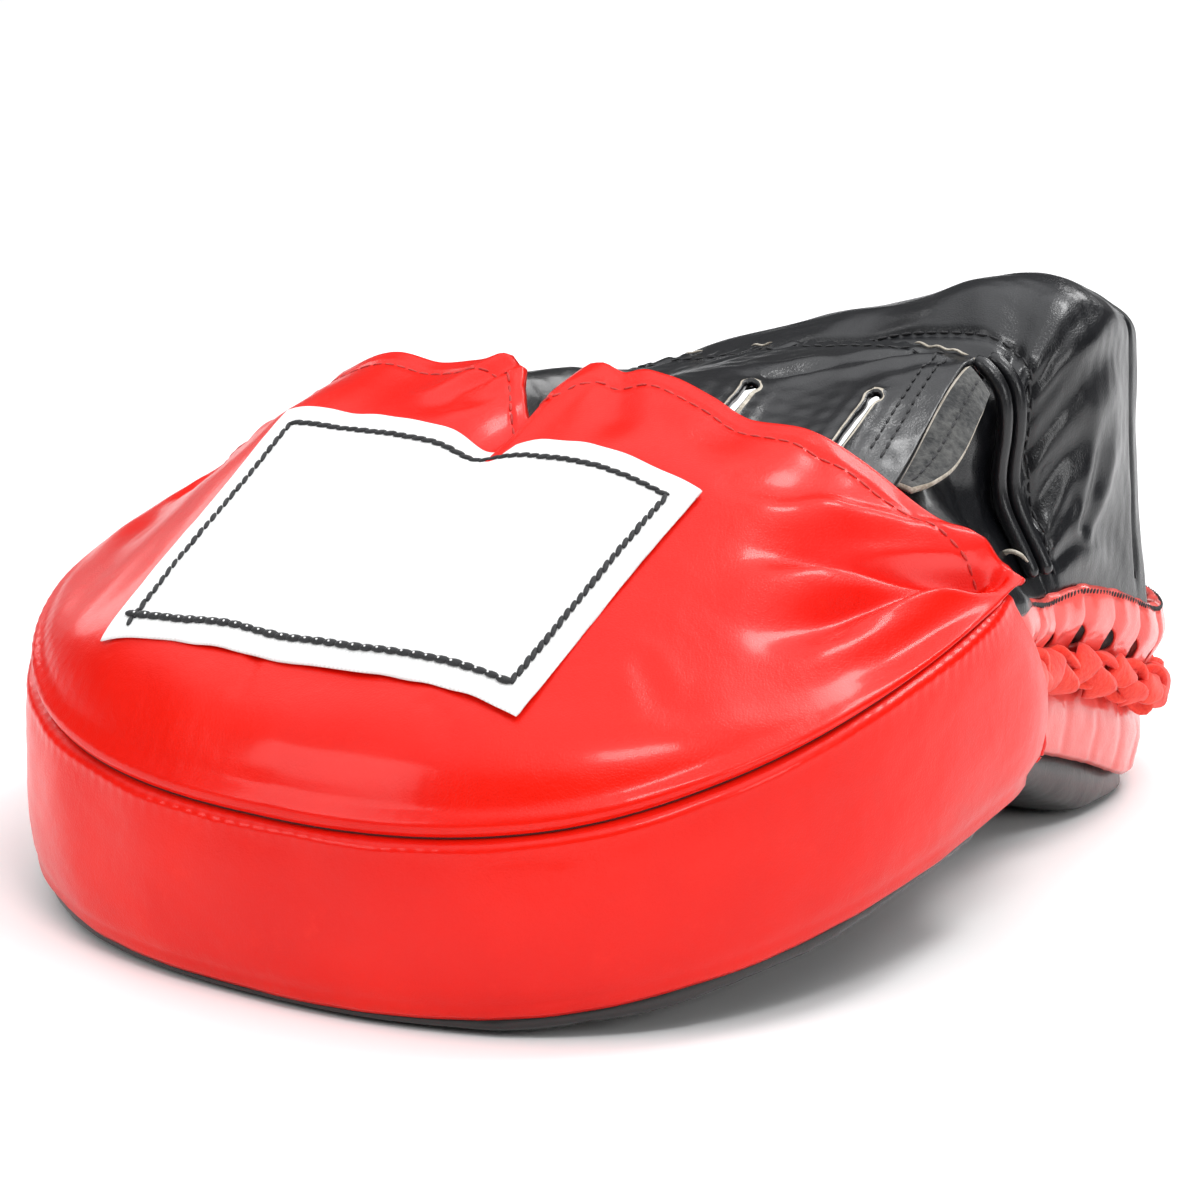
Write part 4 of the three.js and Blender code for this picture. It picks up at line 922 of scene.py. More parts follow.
# Padded body
def padded_body():
    place, out = stations(pad_path(), 240)

    def hang(y):
        along = along_of(y)
        front, heel = read(BELLY, "along", "front", along), read(BELLY, "along", "heel", along)
        return FRONT_BELLY * front + HEEL_BELLY * heel

    def bottom(share, drop=0.0):
        return lambda x, y: np.maximum(lift(x, y) - drop - hang(y) * share, 0)

    def band_height(y):
        to_heel = smooth(y, WIDEST_Y - FRONT_DEPTH / 3, WIDEST_Y)
        return lerp(front_band_height(y), heel_band_height(y), to_heel)

    def stand_out(up):
        to_heel = smooth(place[:, 1], WIDEST_Y - LEATHER, FRONT_BAND_END_Y - FRONT_BAND_CLEAR)
        heel = heel_stand_out(up) - HEEL_BAND_INSET - PLEAT_DEPTH
        return lerp(band_stand_out(up), np.minimum(heel, band_stand_out(up)), to_heel)

    wall_gap = LEATHER + PAD_CLEARANCE

    def ring(inset, height, to_spine=0):
        plan = place - out * np.asarray(inset)[..., None]
        spine = np.column_stack([np.zeros(len(plan)), np.clip(plan[:, 1], WIDEST_Y * 0.9, HEEL_WIDEST_Y)])
        plan = lerp(plan, spine, to_spine)
        return np.column_stack([plan, height(plan[:, 0], plan[:, 1])])

    def top(drop):
        return lambda x, y: lift(x, y) + band_height(y) - drop

    rim = wall_gap - stand_out(0)
    rings = [ring(rim, bottom(1), share) for share in (0.7, 0.4, 0.16)]
    rings += [ring(rim, bottom(0.75, 2 * GAP)), ring(rim - LEATHER, bottom(0.3, 2 * GAP)),
              ring(rim, bottom(0, 2 * GAP))]
    for up in (0.12, 0.3, 0.44, 0.68):
        rings.append(ring(wall_gap - stand_out(up), lambda x, y, up=up: lift(x, y) + band_height(y) * up))
    shoulder = wall_gap + PLEAT_DEPTH + HEEL_BAND_INSET + SEAM_PINCH
    palm = top(PAD_TOP_DROP + PALM_DISH)
    rings += [ring(shoulder, top(PAD_TOP_DROP + PAD_SHOULDER / 2)),
              ring(shoulder + PAD_SHOULDER, top(PAD_TOP_DROP)),
              ring(shoulder, palm, 0.45), ring(shoulder, palm, 0.75)]
    y = (WIDEST_Y + HEEL_WIDEST_Y) / 2
    low = (0, y, float(bottom(1)(0, y)))
    high = (0, y, float(palm(0, y)))
    body = subdivide(rings_object("padded_body", rings, low, high, [BLACK_FACE]), 2)

    def wrinkles(x, y, z, normal):
        down = smooth(-normal[:, 2], 0.2, 0.8) * smooth(z, 0.3, 2.5)
        return ripple(x, y, 34, 0.35, 3) * down + ripple(x, y * 2.2, 9, 0.10, 4) * down

    push(body, wrinkles)
    settle(body, "strike_pad", slot="strike_leather")


# Seam between the two bands: how far back it lies by height on the band, in millimetres
BAND_END = {
    "up": (0, 0.1, 0.35, 0.5, 0.7, 0.9, 1),
    "shift": (5.5, 9.0, 8.6, 6.2, 0.8, -6.0, -9.0),
}
BAND_END_FADE = 32


def band_end_shift(up, away):
    return read(BAND_END, "up", "shift", np.clip(up, 0, 1)) * (1 - smooth(away, 0, BAND_END_FADE))


def band_path(points):
    """A band's dense plan path, how far along its points lie, and its directions there."""
    line = dense(points)
    far = run_of(line)
    return line, far, unit(np.gradient(line, far, axis=0))


def beside(at, path):
    """Plan points and outward directions at places along a band's path."""
    line, far, slope = path
    ahead = along_line(at, far, slope)
    return along_line(at, far, line), np.stack([ahead[..., 1], -ahead[..., 0]], -1)


# Front band
def front_band_surface():
    path = band_path(front_path())
    total = path[1][-1]

    def surface(s, up):
        s, up = both(s, up)
        plan, out = beside(s, path)
        uneven = 0.55 + 0.45 * np.sin(s / 23 + 1.3 * np.sin(s / 61))
        pucker = np.cos(2 * np.pi * s / THREAD_GAP + 0.7 * np.sin(s / 17))
        stand = band_stand_out(np.clip(up, 0, 1)) + 0.07 * uneven * pucker * smooth(up, 0.82, 0.97)
        stand = stand + ripple(s, up * 34, 34, 0.22, 11) + ripple(s, up * 60, 12, 0.035, 12)
        stand = stand - 0.3 * bell(up - 0.035, 0.03) - 1.9 * smooth(up, 0.968, 1.0)
        stand = stand + 0.6 * bell(up - 0.95, 0.035)
        plan = plan + out * stand[..., None]
        height = front_band_height(plan[..., 1]) * up
        y = plan[..., 1] + band_end_shift(up, np.minimum(s, total - s))
        return np.stack([plan[..., 0], y, lift(plan[..., 0], y) + height], -1)

    return surface, total


def front_band():
    surface, total = front_band_surface()
    s = np.linspace(0, total, 900)
    up = np.concatenate([np.linspace(-0.025, 0.9, 24), np.linspace(0.92, 1, 10)])
    outer = surface(s[:, None], up[None, :])
    inner = inward(outer, LEATHER, MITT_INSIDE)
    inner[:, (0, -1), 2] = outer[:, (0, -1), 2]
    band = skin("front_side_band", outer, inner, [RED])
    settle(band, "front_band", slot="band_leather")


# Heel band with pleats and lace slots
def heel_layout():
    """The heel band's path, its length, how many slots it has and how far apart they lie."""
    path = band_path(heel_path())
    run = path[1][-1] - 2 * GAP
    count = max(int(run // LACE_PITCH) - 1, 1)
    return path, run, count, run / (count + 1)


def heel_surface(fine=True):
    path, run, count, pitch = heel_layout()

    def surface(s, up):
        """s runs from the near end of the band, in millimetres."""
        s, up = both(s, up)
        plan, out = beside(s + GAP, path)
        stand = heel_stand_out(np.clip(up, 0, 1))
        if fine:
            near = np.abs((s / pitch + 0.5) % 1 - 0.5) * pitch
            valley = bell(near, 1.7)
            upper = smooth(up, 0.5, 0.68) * (1 - 0.35 * smooth(up, 0.86, 1.0))
            lower = 1 - smooth(up, 0.25, 0.42)
            stand = stand - PLEAT_DEPTH * (1.25 * valley * upper + 0.3 * valley * lower)
            swell = np.sin(np.pi * np.clip((up - 0.45) / 0.55, 0, 1)) ** 0.7
            stand = stand + 0.8 * upper * (1 - valley) * swell
            stand = stand + ripple(s, up * 36, 12, 0.10, 21) + ripple(s, up * 80, 5, 0.05, 22)
        height = heel_band_height(plan[..., 1]) * up
        shift = band_end_shift(up, np.minimum(s, run - s))
        moved = plan + out * stand[..., None]
        return np.stack([moved[..., 0], moved[..., 1] + shift,
                         lift(plan[..., 0], plan[..., 1] + shift) + height], -1)

    return surface, run, count, pitch


def slot_half_width(up):
    """Teardrop opening of a lace slot, narrow at its top, by height on the band."""
    t = (up - (SLOT_LEVEL - 0.085)) / 0.165
    inside = (t > 0) & (t < 1)
    t = np.clip(t, 0, 1)
    return np.where(inside, 4.4 * np.sqrt(t) * (1 - t) ** 0.75, 0)


def heel_band():
    surface, run, count, pitch = heel_surface()
    per = 30
    s = np.linspace(0, run, (count + 1) * per + 1)
    slot_rows = np.linspace(SLOT_LEVEL - 0.09, SLOT_LEVEL + 0.09, 17)
    up = np.sort(np.concatenate([np.linspace(0, 1, 22), slot_rows]))
    grid_s, grid_up = np.meshgrid(s, up, indexing="ij")
    nearest = np.round(grid_s / pitch)
    real = (nearest >= 1) & (nearest <= count)
    off = grid_s - nearest * pitch
    reach = pitch * 0.42
    wide = slot_half_width(grid_up)
    pushed = np.sign(off) * (wide + np.abs(off) * (1 - wide / reach))
    grid_s = np.where(real & (np.abs(off) < reach) & (np.abs(off) > 1e-6), nearest * pitch + pushed, grid_s)
    outer = surface(grid_s, grid_up)
    thin = bell(off, 4.0) * bell(grid_up - SLOT_LEVEL, 0.12) * real
    inner = inward(outer, (LEATHER * (1 - 0.7 * thin))[..., None], HEEL_INSIDE)
    inner[:, (0, -1), 2] = outer[:, (0, -1), 2]
    rows = slot_half_width(up) > 0.05
    open_rows = rows[:-1] & rows[1:]
    holes = np.zeros((len(s) - 1, len(up) - 1), bool)
    for k in range(1, count + 1):
        for cell in (k * per - 1, k * per):
            holes[cell] = open_rows
    # The heel band takes the pink leather with painted light
    band = skin("heel_side_band", outer, inner, [RED_HEEL_PAINTED_LIGHT], holes=holes)
    settle(band, "heel_band", slot="heel_leather")


# Tape over the seam between the two bands
def band_end_tapes():
    for side, name in ((1, "near"), (-1, "far")):
        up = np.linspace(0.07, 0.985, 90)
        shift = read(BAND_END, "up", "shift", np.clip(up, 0, 1))
        plan = waist_point(side, waist_share(FRONT_BAND_END + 1.2), HEEL_BAND_INSET)
        wave = 0.12 * np.sin(up * 40)
        x = plan[0] + side * (heel_stand_out(np.clip(up, 0, 1)) * 0.35 + 0.7 + wave)
        y = plan[1] + shift
        z = lift(plan[0], y) + heel_band_height(y) * up
        radius = 1.35 * smooth(np.minimum(up - 0.07, 0.985 - up), -0.03, 0.06)
        tape = tube("band_end_tape_" + name, np.column_stack([x, y, z]), radius, [RED], 12, 0.8)
        ride(tape)


# Braided suede lace
def braided_lace():
    path, _, _, pitch = heel_layout()
    total = path[1][-1]
    turn_length = 36.0
    trim = GAP + LACE_RADIUS
    steps = int((total - 2 * trim) / turn_length * 30)
    at = np.linspace(trim, total - trim, steps)
    plan, out = beside(at, path)
    s = at - at[0]
    ends = smooth(np.minimum(s, s[-1] - s), -1, 12)
    level = lift(plan[:, 0], plan[:, 1]) + heel_band_height(plan[:, 1]) * (LACE_LEVEL - 0.045)
    sag = 0.8 * np.cos(2 * np.pi * (at - GAP) / pitch) + 0.9 * np.sin(s / 31) - 5.5 * (1 - smooth(s, 0, 16))
    centre = np.column_stack([plan + out * (LACE_AWAY - 0.2), level + sag])
    side = np.column_stack([out, np.zeros(steps)])
    rise = np.array([0, 0, 1.0])
    sides = 12
    verts, faces = [], []
    for strand in range(4):
        sign = 1 if strand < 2 else -1
        angle = sign * 2 * np.pi * s / turn_length + np.pi * (strand % 2) + 0.4
        over = sign * np.cos(4 * np.pi * s / turn_length)
        radius = (2.05 + 0.75 * over) * ends
        middle = centre + radius[:, None] * (0.85 * np.cos(angle)[:, None] * side
                                             + 1.3 * np.sin(angle)[:, None] * rise)
        facing = np.cos(angle)[:, None] * side + np.sin(angle)[:, None] * rise
        tangent = unit(np.gradient(middle, axis=0))
        across = unit(np.cross(facing, tangent))
        facing = np.cross(tangent, across)
        half = (2.9 + 0.9 * over + 0.2 * np.sin(s * 1.1 + strand)) * (0.45 + 0.55 * ends)
        thick = (1.25 + 0.15 * over) * (0.6 + 0.4 * ends)
        base = len(verts)
        for k in range(sides):
            a = 2 * np.pi * k / sides
            fray = 1 + 0.05 * np.sin(s * 5.1 + 3 * k + strand)
            verts += list(middle + (half * fray * np.cos(a))[:, None] * across
                          + (thick * np.sin(a))[:, None] * facing)
        for k in range(sides):
            m = (k + 1) % sides
            for i in range(steps - 1):
                faces.append((base + k * steps + i, base + k * steps + i + 1,
                              base + m * steps + i + 1, base + m * steps + i))
        faces.append(tuple(base + k * steps for k in range(sides)))
        faces.append(tuple(base + k * steps + steps - 1 for k in range(sides - 1, -1, -1)))
    lace = as_object("braided_lace", verts, faces, [SUEDE])
    settle(lace, "side_lace", slot="lace_suede")


# Hood
def hood_surface(x, y):
    x, y = both(x, y)
    z = hood_z(x, y)
    from_edge = hood_edge_y(x) - y
    from_seam = y - seam_y(x)
    inside = smooth(1 - np.abs(across_of(x)), 0.02, 0.1)
    z = z + inside * (0.3 * (1 - smooth(from_edge, 3.4, 4.6)) - 0.28 * bell(from_edge - 4.3, 0.7))
    around = np.arctan2(x, -(y + 19)) * 95
    uneven = 0.25 + 0.75 * smooth(-x, -5, 25) * (1 - smooth(-x, 75, 95))
    fade = np.exp(-np.maximum(from_seam, 0) / 2.6) * smooth(from_seam, 0.1, 1.2)
    z = z + 0.24 * np.cos(2 * np.pi * around / THREAD_GAP) * fade * uneven
    narrow = bell(np.maximum(x, 0), 2.8) - bell(np.maximum(x, 0), NOTCH_WIDTH)
    z = z - NOTCH_DEPTH * narrow * bell(np.maximum(from_edge, 0), NOTCH_LENGTH) * (x > 0)
    rest = smooth(from_seam, 1, 14)
    z = z + rest * inside * (ripple(x, y, 48, 0.35, 31) + ripple(x * 1.3, y, 17, 0.05, 32))
    notch = bell(x, 12) * (1 - smooth(from_edge, 5, 18)) * smooth(from_edge, 0, 3)
    z = z + 0.35 * notch * np.cos(2 * np.pi * x / 4.2)
    roll = bell(z - lift(x, y) - front_band_height(y) - GAP - 1.9, 1.5)
    roll = roll * bell(from_seam, 5) * smooth(from_seam, 0, 0.35) * inside
    moved = np.stack([x, y], -1) + seam_out(x) * (1.5 * roll)[..., None]
    return np.stack([moved[..., 0], moved[..., 1], z], -1)


def hood_columns(count):
    u = np.linspace(-1, 1, count)
    return SEAM_HALF * np.sign(u) * np.sin(np.pi / 2 * np.abs(u)) ** (2 / FRONT_SQUARENESS)


def hood():
    x = hood_columns(281)
    t = np.linspace(0, 1, 150)
    t = 0.62 * t ** 1.5 + 0.38 * (1 - (1 - t) ** 1.4)
    grid_x = np.repeat(x[:, None], len(t), 1)
    wave = HOOD_EDGE_WAVE * read(EDGE, "across", "wave", across_of(x))
    end_y = hood_edge_y(x) - wave * smooth(x, 0.3, 5) * (1 - smooth(x, 7, 22))
    grid_y = lerp(seam_y(x)[:, None], end_y[:, None], t[None, :])
    outer = hood_surface(grid_x, grid_y)
    inner = inward(outer, LEATHER, MITT_INSIDE)
    floor = lift(inner[..., 0], inner[..., 1]) + front_band_height(inner[..., 1]) + GAP
    inner[..., 2] = np.minimum(np.maximum(inner[..., 2], floor), outer[..., 2])
    cover = skin("finger_hood", outer, inner, [RED])
    settle(cover, "hood", slot="hood_leather")


# Label, a bare woven patch
def label_surface(x, y):
    x, y = both(x, y)
    inner = np.minimum(LABEL_WIDTH / 2 - np.abs(x), np.minimum(y - LABEL_FRONT_Y, LABEL_REAR_Y - y))
    z = hood_z(x, y, False) + ripple(x, y, 42, 0.35, 31) + LABEL_LIFT + LABEL_THICKNESS - 0.25
    z = z - 0.30 * bell(inner - LABEL_HEM, 1.5) + 0.35 * smooth(inner, 5, 12)
    z = z + ripple(x, y, 24, 0.22, 41) * smooth(inner, 3, 9) + ripple(x, y, 8, 0.05, 42)
    return np.stack([x, y, z], -1)


def label_front(x):
    """How far back the label's front edge is cut, so that it lies straight over the curved hood."""
    return 0.8 + 1.9 * smooth(x, -15, LABEL_WIDTH / 2)


def label():
    x = np.linspace(-LABEL_WIDTH / 2, LABEL_WIDTH / 2, 160)
    y = np.linspace(LABEL_FRONT_Y, LABEL_REAR_Y, 110)
    grid_x, grid_y = np.meshgrid(x, y, indexing="ij")
    ends = np.linspace(0, 1, 110)[None, :]
    grid_y = grid_y + 0.15 * ripple(grid_x, grid_x * 0, 11, 1, 43) * (ends - 0.5) * 2
    grid_y = grid_y + label_front(grid_x) * (1 - ends)
    grid_x = grid_x - 3.0 * smooth(grid_x, 0, LABEL_WIDTH / 2) * (1 - ends)
    outer = label_surface(grid_x, grid_y)
    inner = outer.copy()
    inner[..., 2] -= 0.85
    du, dv = np.diff(outer, axis=0)[:, :-1], np.diff(outer, axis=1)[:-1]
    area = float(np.linalg.norm(np.cross(du, dv), axis=2).sum())
    deep = float(np.linalg.norm(np.diff(outer[80], axis=0), axis=1).sum())
    patch = skin("woven_label", outer, inner, [LABEL])
    settle(patch, "label_patch", slot="label_weave")


# Finger panel with slits
SLITS = {"across": (-0.10, 0.44, 0.82), "back": (0.60, 0.50, 0.60), "lean": (0.30, 0.26, 0.16)}
PANEL_CREASES = (
    (((52, 30), (34, 12), (20, -8)), 0.9, 2.2, 0.7),
    (((60, 28), (50, 16), (44, 4)), 0.5, 2.0, 0.7),
    (((20, 33), (12, 22), (8, 10)), 0.6, 2.0, 0.7),
    (((-10, 33), (-16, 20), (-26, 8)), 0.7, 2.4, 0.7),
    (((-40, 32), (-46, 18), (-50, 2)), 0.7, 2.4, 0.7),
    (((30, 6), (36, 16), (37, 28)), 0.5, 1.8, 0.7),
)


def panel_back(x, y):
    start = hood_edge_y(x) - PANEL_TUCK
    across = np.clip(x / PANEL_HALF_WIDTH, -1, 1)
    for _ in range(3):
        corner = PANEL_CORNER * np.maximum(np.abs(across) - 0.8, 0) / 0.2 * np.where(across > 0, 1, 0.5)
        end = PANEL_END_Y - corner
        back = (y - start) / (end - start)
        across = x / (PANEL_HALF_WIDTH + lerp(PANEL_FLARE, 0, back))
    return across, back


def panel_surface(x, y):
    x, y = both(x, y)
    across, back = panel_back(x, y)
    roof = heel_top(0, PANEL_END_Y) + PANEL_RISE * read(ROOF, "across", "rise", np.clip(across, -1, 1))
    clear = smooth(y, hood_edge_y(x), PANEL_END_Y - PANEL_LEVEL)
    z = lerp(under_hood(x, y), roof, clear)
    open_part = smooth(y - hood_edge_y(x), 0, 8)
    z = z - sum(crease(x, y, *fold) for fold in PANEL_CREASES) * open_part
    z = z + open_part * (ripple(x, y, 26, 0.32, 51) + ripple(x * 1.5, y, 9, 0.07, 52))
    from_end = PANEL_END_Y - y
    z = z + 0.28 * np.cos(2 * np.pi * x / 4.4) * np.exp(-np.maximum(from_end, 0) / 4) * open_part
    z = z - 0.35 * bell(from_end - PANEL_HEM, 1.1)
    for tip, lean in zip(SLIT_TIPS, SLITS["lean"]):
        run = tip[1] - y
        off = x - (tip[0] + run * math.tan(lean))
        swell = 0.9 * bell(off, 2.6) + 0.25 * np.cos(off * 1.5) * bell(off, 6)
        z = z + swell * smooth(run, -3, 2) * open_part
    return np.stack([x, y, z], -1)


SLIT_TIPS = [panel_point(a, b) for a, b in zip(SLITS["across"], SLITS["back"])]


def finger_panel():
    knots = np.array([-1, *SLITS["across"], 1])
    cells = np.array([0, 90, 150, 186, 216])
    u = np.interp(np.arange(217), cells, knots)
    v = np.linspace(0, 1, 110)
    base = panel_point(u[:, None], v[None, :])
    grid_x, grid_y = base[..., 0].copy(), base[..., 1]
    lean = np.tan(np.interp(u, knots, [0, *SLITS["lean"], 0]))
    tips = SLIT_TIPS[:1] + SLIT_TIPS + SLIT_TIPS[-1:]
    tip_y = np.interp(u, knots, [tip[1] for tip in tips])
    backs = SLITS["back"][:1] + SLITS["back"] + SLITS["back"][-1:]
    end_x = panel_point(u, np.interp(u, knots, backs))[:, 0]
    straight = end_x[:, None] + (tip_y[:, None] - grid_y) * lean[:, None]
    inside = smooth(1 - np.abs(u), 0.0, 0.16)[:, None]
    grid_x = lerp(grid_x, straight, inside)
    holes = np.zeros((216, 109), bool)
    for k in range(3):
        column = cells[k + 1]
        run = SLIT_TIPS[k][1] - grid_y[column]
        wide = np.where(run > 0, 0.75 * bell(run - 2.0, 1.8) + 0.7, 0) * smooth(run, -0.1, 0.7)
        for off in (*range(-9, 0), *range(1, 10)):
            grid_x[column + off] += np.sign(off) * wide * (1 - abs(off) / 9)
        rows = wide > 0.03
        for cell in (column - 1, column):
            holes[cell] |= rows[:-1] & rows[1:]
    lips = np.zeros(holes.shape, bool)
    for column in cells[1:4]:
        lips[column - 2] = lips[column + 1] = holes[column]
        rear = np.nonzero(holes[column])[0].max() + 1
        lips[column - 2:column + 2, rear:rear + 2] = True
    outer = panel_surface(grid_x, grid_y)
    inner = inward(outer, LEATHER * 0.75, (0, 0, 20))

    panel = skin("finger_panel_leather", outer, inner, [BLACK, CREAM], holes=holes,
                 rim_mark=lambda i, j: int(j >= 108), lips=lips, rim=0.35)
    settle(panel, "finger_panel", slot="panel_leather")


# Seam allowance turned out along the near edge of the finger panel
def strip_point(share, out):
    share, out = both(share, out)
    edge = panel_point(np.ones(share.shape), lerp(STRIP_FROM, STRIP_TO, share))
    splay = np.radians(lerp(STRIP_SPLAY_FRONT, STRIP_SPLAY_REAR, share))
    out = out * read_rows(np.array([0, 0.12, 0.35, 0.8, 1]), np.array([0.35, 0.7, 1.0, 1.0, 0.86]), share)
    x = edge[..., 0] + GAP + STRIP_THICKNESS * np.cos(splay) + out * np.sin(splay)
    curl = 0.5 * np.sin(np.pi * out / STRIP_WIDTH) + 0.3 * np.sin(share * 9) * out / STRIP_WIDTH
    return np.stack([x, edge[..., 1], edge[..., 2] + STRIP_THICKNESS / 2 - out * np.cos(splay) + curl], -1)


def seam_strip():
    share = np.linspace(0, 1, 90)
    out = np.linspace(0, STRIP_WIDTH, 26)
    outer = strip_point(share[:, None], out[None, :])
    inner = inward(outer, STRIP_THICKNESS, (40, 10, 70))
    strip = skin("turned_out_seam", outer, inner, [FLESH, CREAM], rim_mark=lambda i, j: 1, rim=0.3)
    settle(strip, "panel_seam_strip", slot="flesh_side")


def side_gusset(side, name, node):
    steps, levels = 90, 40
    foot = 0 if side > 0 else CUFF_ROWS - 1
    corner = NEAR_CORNER if side > 0 else FAR_CORNER
    up = np.linspace(0, 1, levels)
    rear = cuff_point(lerp(foot, corner, up), 0)
    hood_edge = hood_edge_y(side * (PANEL_HALF_WIDTH + PANEL_FLARE))
    panel_start = hood_edge - PANEL_TUCK
    start = hood_edge - GUSSET_TUCK
    outside = HEEL_BAND_INSET + SEAM_PINCH
    inside = BAND_BULGE + SEAM_PINCH + LEATHER + PAD_CLEARANCE
    grid = []
    for share in np.linspace(0, 1, steps):
        y = lerp(start, PANEL_END_Y - GAP, share)
        waist = np.clip(waist_share(y - FRONT_Y), 0, 1)
        past = float(smooth(y, FRONT_BAND_END_Y + GAP, FRONT_BAND_END_Y + GUSSET_EASE))
        plan = waist_point(side, waist, lerp(inside, outside, past))
        low = np.array([plan[0], y, heel_top(plan[0], y) + GAP])
        edge = panel_point(side, (y - panel_start) / (PANEL_END_Y - panel_start))
        high = np.array([edge[0] - side * LEATHER, y, edge[2] - LEATHER * SLOPE_ROOM - 2 * GAP])
        opening = smooth(y, FRONT_BAND_END_Y, FRONT_BAND_END_Y + 2 * GUSSET_EASE)
        follow = smooth(share, 0.5, 1)
        point = lerp(low[None, :], high[None, :], up[:, None])
        bow = np.sin(np.pi * up)
        hooded = under_hood(point[:, 0], np.full(levels, y)) - LEATHER * up
        tucked = lerp(point[:, 2], np.maximum(hooded, point[:, 2]), bow ** 0.5)
        point[:, 0] -= side * GUSSET_DEPTH * opening * bow ** 1.4
        point[:, 2] = lerp(tucked, point[:, 2], opening)
        target_x = rear[:, 0] - side * LEATHER * 0.5 * up
        target_z = np.minimum(rear[:, 2], high[2])
        point[:, 0] = lerp(point[:, 0], target_x, follow)
        point[:, 2] = lerp(point[:, 2], target_z, follow * bow)
        folds = ripple(np.full(levels, y), point[:, 2], 16, 0.45, 61) + ripple(
            np.full(levels, y) * 1.6, point[:, 2], 7, 0.15, 62)
        point[:, 0] += side * folds * bow
        grid.append(point)
    outer = np.array(grid)
    inner = inward(outer, LEATHER, (0, 10, 60))
    inner[:, 0, 2] = outer[:, 0, 2]
    wall = skin(name, outer, inner, [BLACK])
    settle(wall, node, slot="gusset_leather")


# Padded cuff
CUFF_CREASES = (
    (((14, 18), (24, 24), (36, 30)), 0.9, 2.6, 0.8),
    (((20, 4), (28, 12), (31, 26)), 1.0, 3.0, 0.8),
    (((34, 2), (38, 14), (44, 30), (46, 44)), 0.7, 3.4, 0.7),
    (((8, 8), (12, 22), (11, 38)), 0.8, 2.8, 0.8),
    (((52, 4), (55, 18), (52, 34)), 0.8, 3.2, 0.7),
    (((66, 3), (72, 14), (74, 30)), 1.0, 3.6, 0.7),
    (((96, 3), (92, 16), (98, 34)), 0.8, 4.0, 0.7),
    (((124, 3), (128, 18), (122, 36)), 0.9, 4.0, 0.7),
    (((150, 3), (146, 18), (152, 40)), 0.8, 4.0, 0.7),
)
CUFF_GIRTH = 14.2


def cuff_surface(row, back):
    row, back = both(row, back)
    point = cuff_point(np.clip(row, 0, CUFF_ROWS - 1), back)
    step = 0.02
    after, before = (cuff_point(np.clip(row + way, 0, CUFF_ROWS - 1), back) for way in (step, -step))
    du = after - before
    dv = cuff_point(row, back + step) - cuff_point(row, back - step)
    normal = np.cross(du, dv)
    normal /= np.maximum(np.linalg.norm(normal, axis=-1, keepdims=True), TINY)
    outward = np.sign(np.sum(normal * (point - np.array(CUFF_INSIDE)), axis=-1, keepdims=True))
    normal = normal * outward
    a, b = row * CUFF_GIRTH, back * CUFF_LENGTH
    depth = sum(crease(a, b, *fold) for fold in CUFF_CREASES)
    crown = 0.35 * np.sin(np.pi * np.clip(back, 0, 1)) ** 0.6
    edge = 0.9 * bell(back - 0.09, 0.02) + 0.9 * bell(back - 0.9, 0.02)
    low = ripple(a, b, 30, 0.32, 71) + ripple(a, b * 1.7, 10, 0.05, 72)
    low = low - 1.6 * smooth(row, 3.6, 4.6) * (1 - smooth(row, 9.5, 11))
    low = low - 1.8 * smooth(row, 5.2, 6.4) * (1 - smooth(row, 8.6, 10.4))
    sides = smooth(np.minimum(row, CUFF_ROWS - 1 - row), 0, 0.7)
    return point + normal * ((low + crown - depth - edge) * sides)[..., None]


def hand_cuff():
    row = np.linspace(0, CUFF_ROWS - 1, 300)
    back = np.linspace(0, 1, 90)
    outer = cuff_surface(row[:, None], back[None, :])
    inner = inward(outer, CUFF_PADDING, CUFF_INSIDE)
    inner[..., 1] = outer[..., 1]
    inner[0, :, 2] = outer[0, :, 2]
    inner[-1, :, 2] = outer[-1, :, 2]
    cuff = skin("padded_hand_cuff", outer, inner, [BLACK], rim=0.42)
    settle(cuff, "hand_cuff", slot="cuff_leather")


def cuff_piping(name, node, offset, sink):
    away = WELT_RADIUS + 2 * GAP
    place = np.linspace(WELT_FROM - 0.35, WELT_TO + 0.45, 120)
    along = unit(cuff_point(place + WELT_REACH, 0) - cuff_point(np.maximum(place - WELT_REACH, 0), 0))
    point = np.mean([cuff_point(np.maximum(place + off, 0), 0) for off in np.linspace(-0.55, 0.55, 7)], axis=0)
    point[:, 0] += away * along[:, 2] - sink
    point[:, 1] -= offset
    point[:, 2] -= away * along[:, 0]
    radius = WELT_RADIUS * smooth(np.minimum(place - place[0], place[-1] - place), -0.25, 0.15)
    welt = tube(name, point, radius, [BLACK], 14, 1.0)
    settle(welt, node, slot="welt_leather")


padded_body()
front_band()
heel_band()
band_end_tapes()
braided_lace()
hood()
label()
finger_panel()
seam_strip()
side_gusset(1, "near_side_gusset", "side_gusset_near")
side_gusset(-1, "far_side_gusset", "side_gusset_far")
hand_cuff()
cuff_piping("front_cuff_piping", "cuff_welt_front", WELT_RADIUS * 3 + GAP * 2, WELT_RADIUS / 2)
cuff_piping("rear_cuff_piping", "cuff_welt_rear", WELT_RADIUS - GAP, 0)


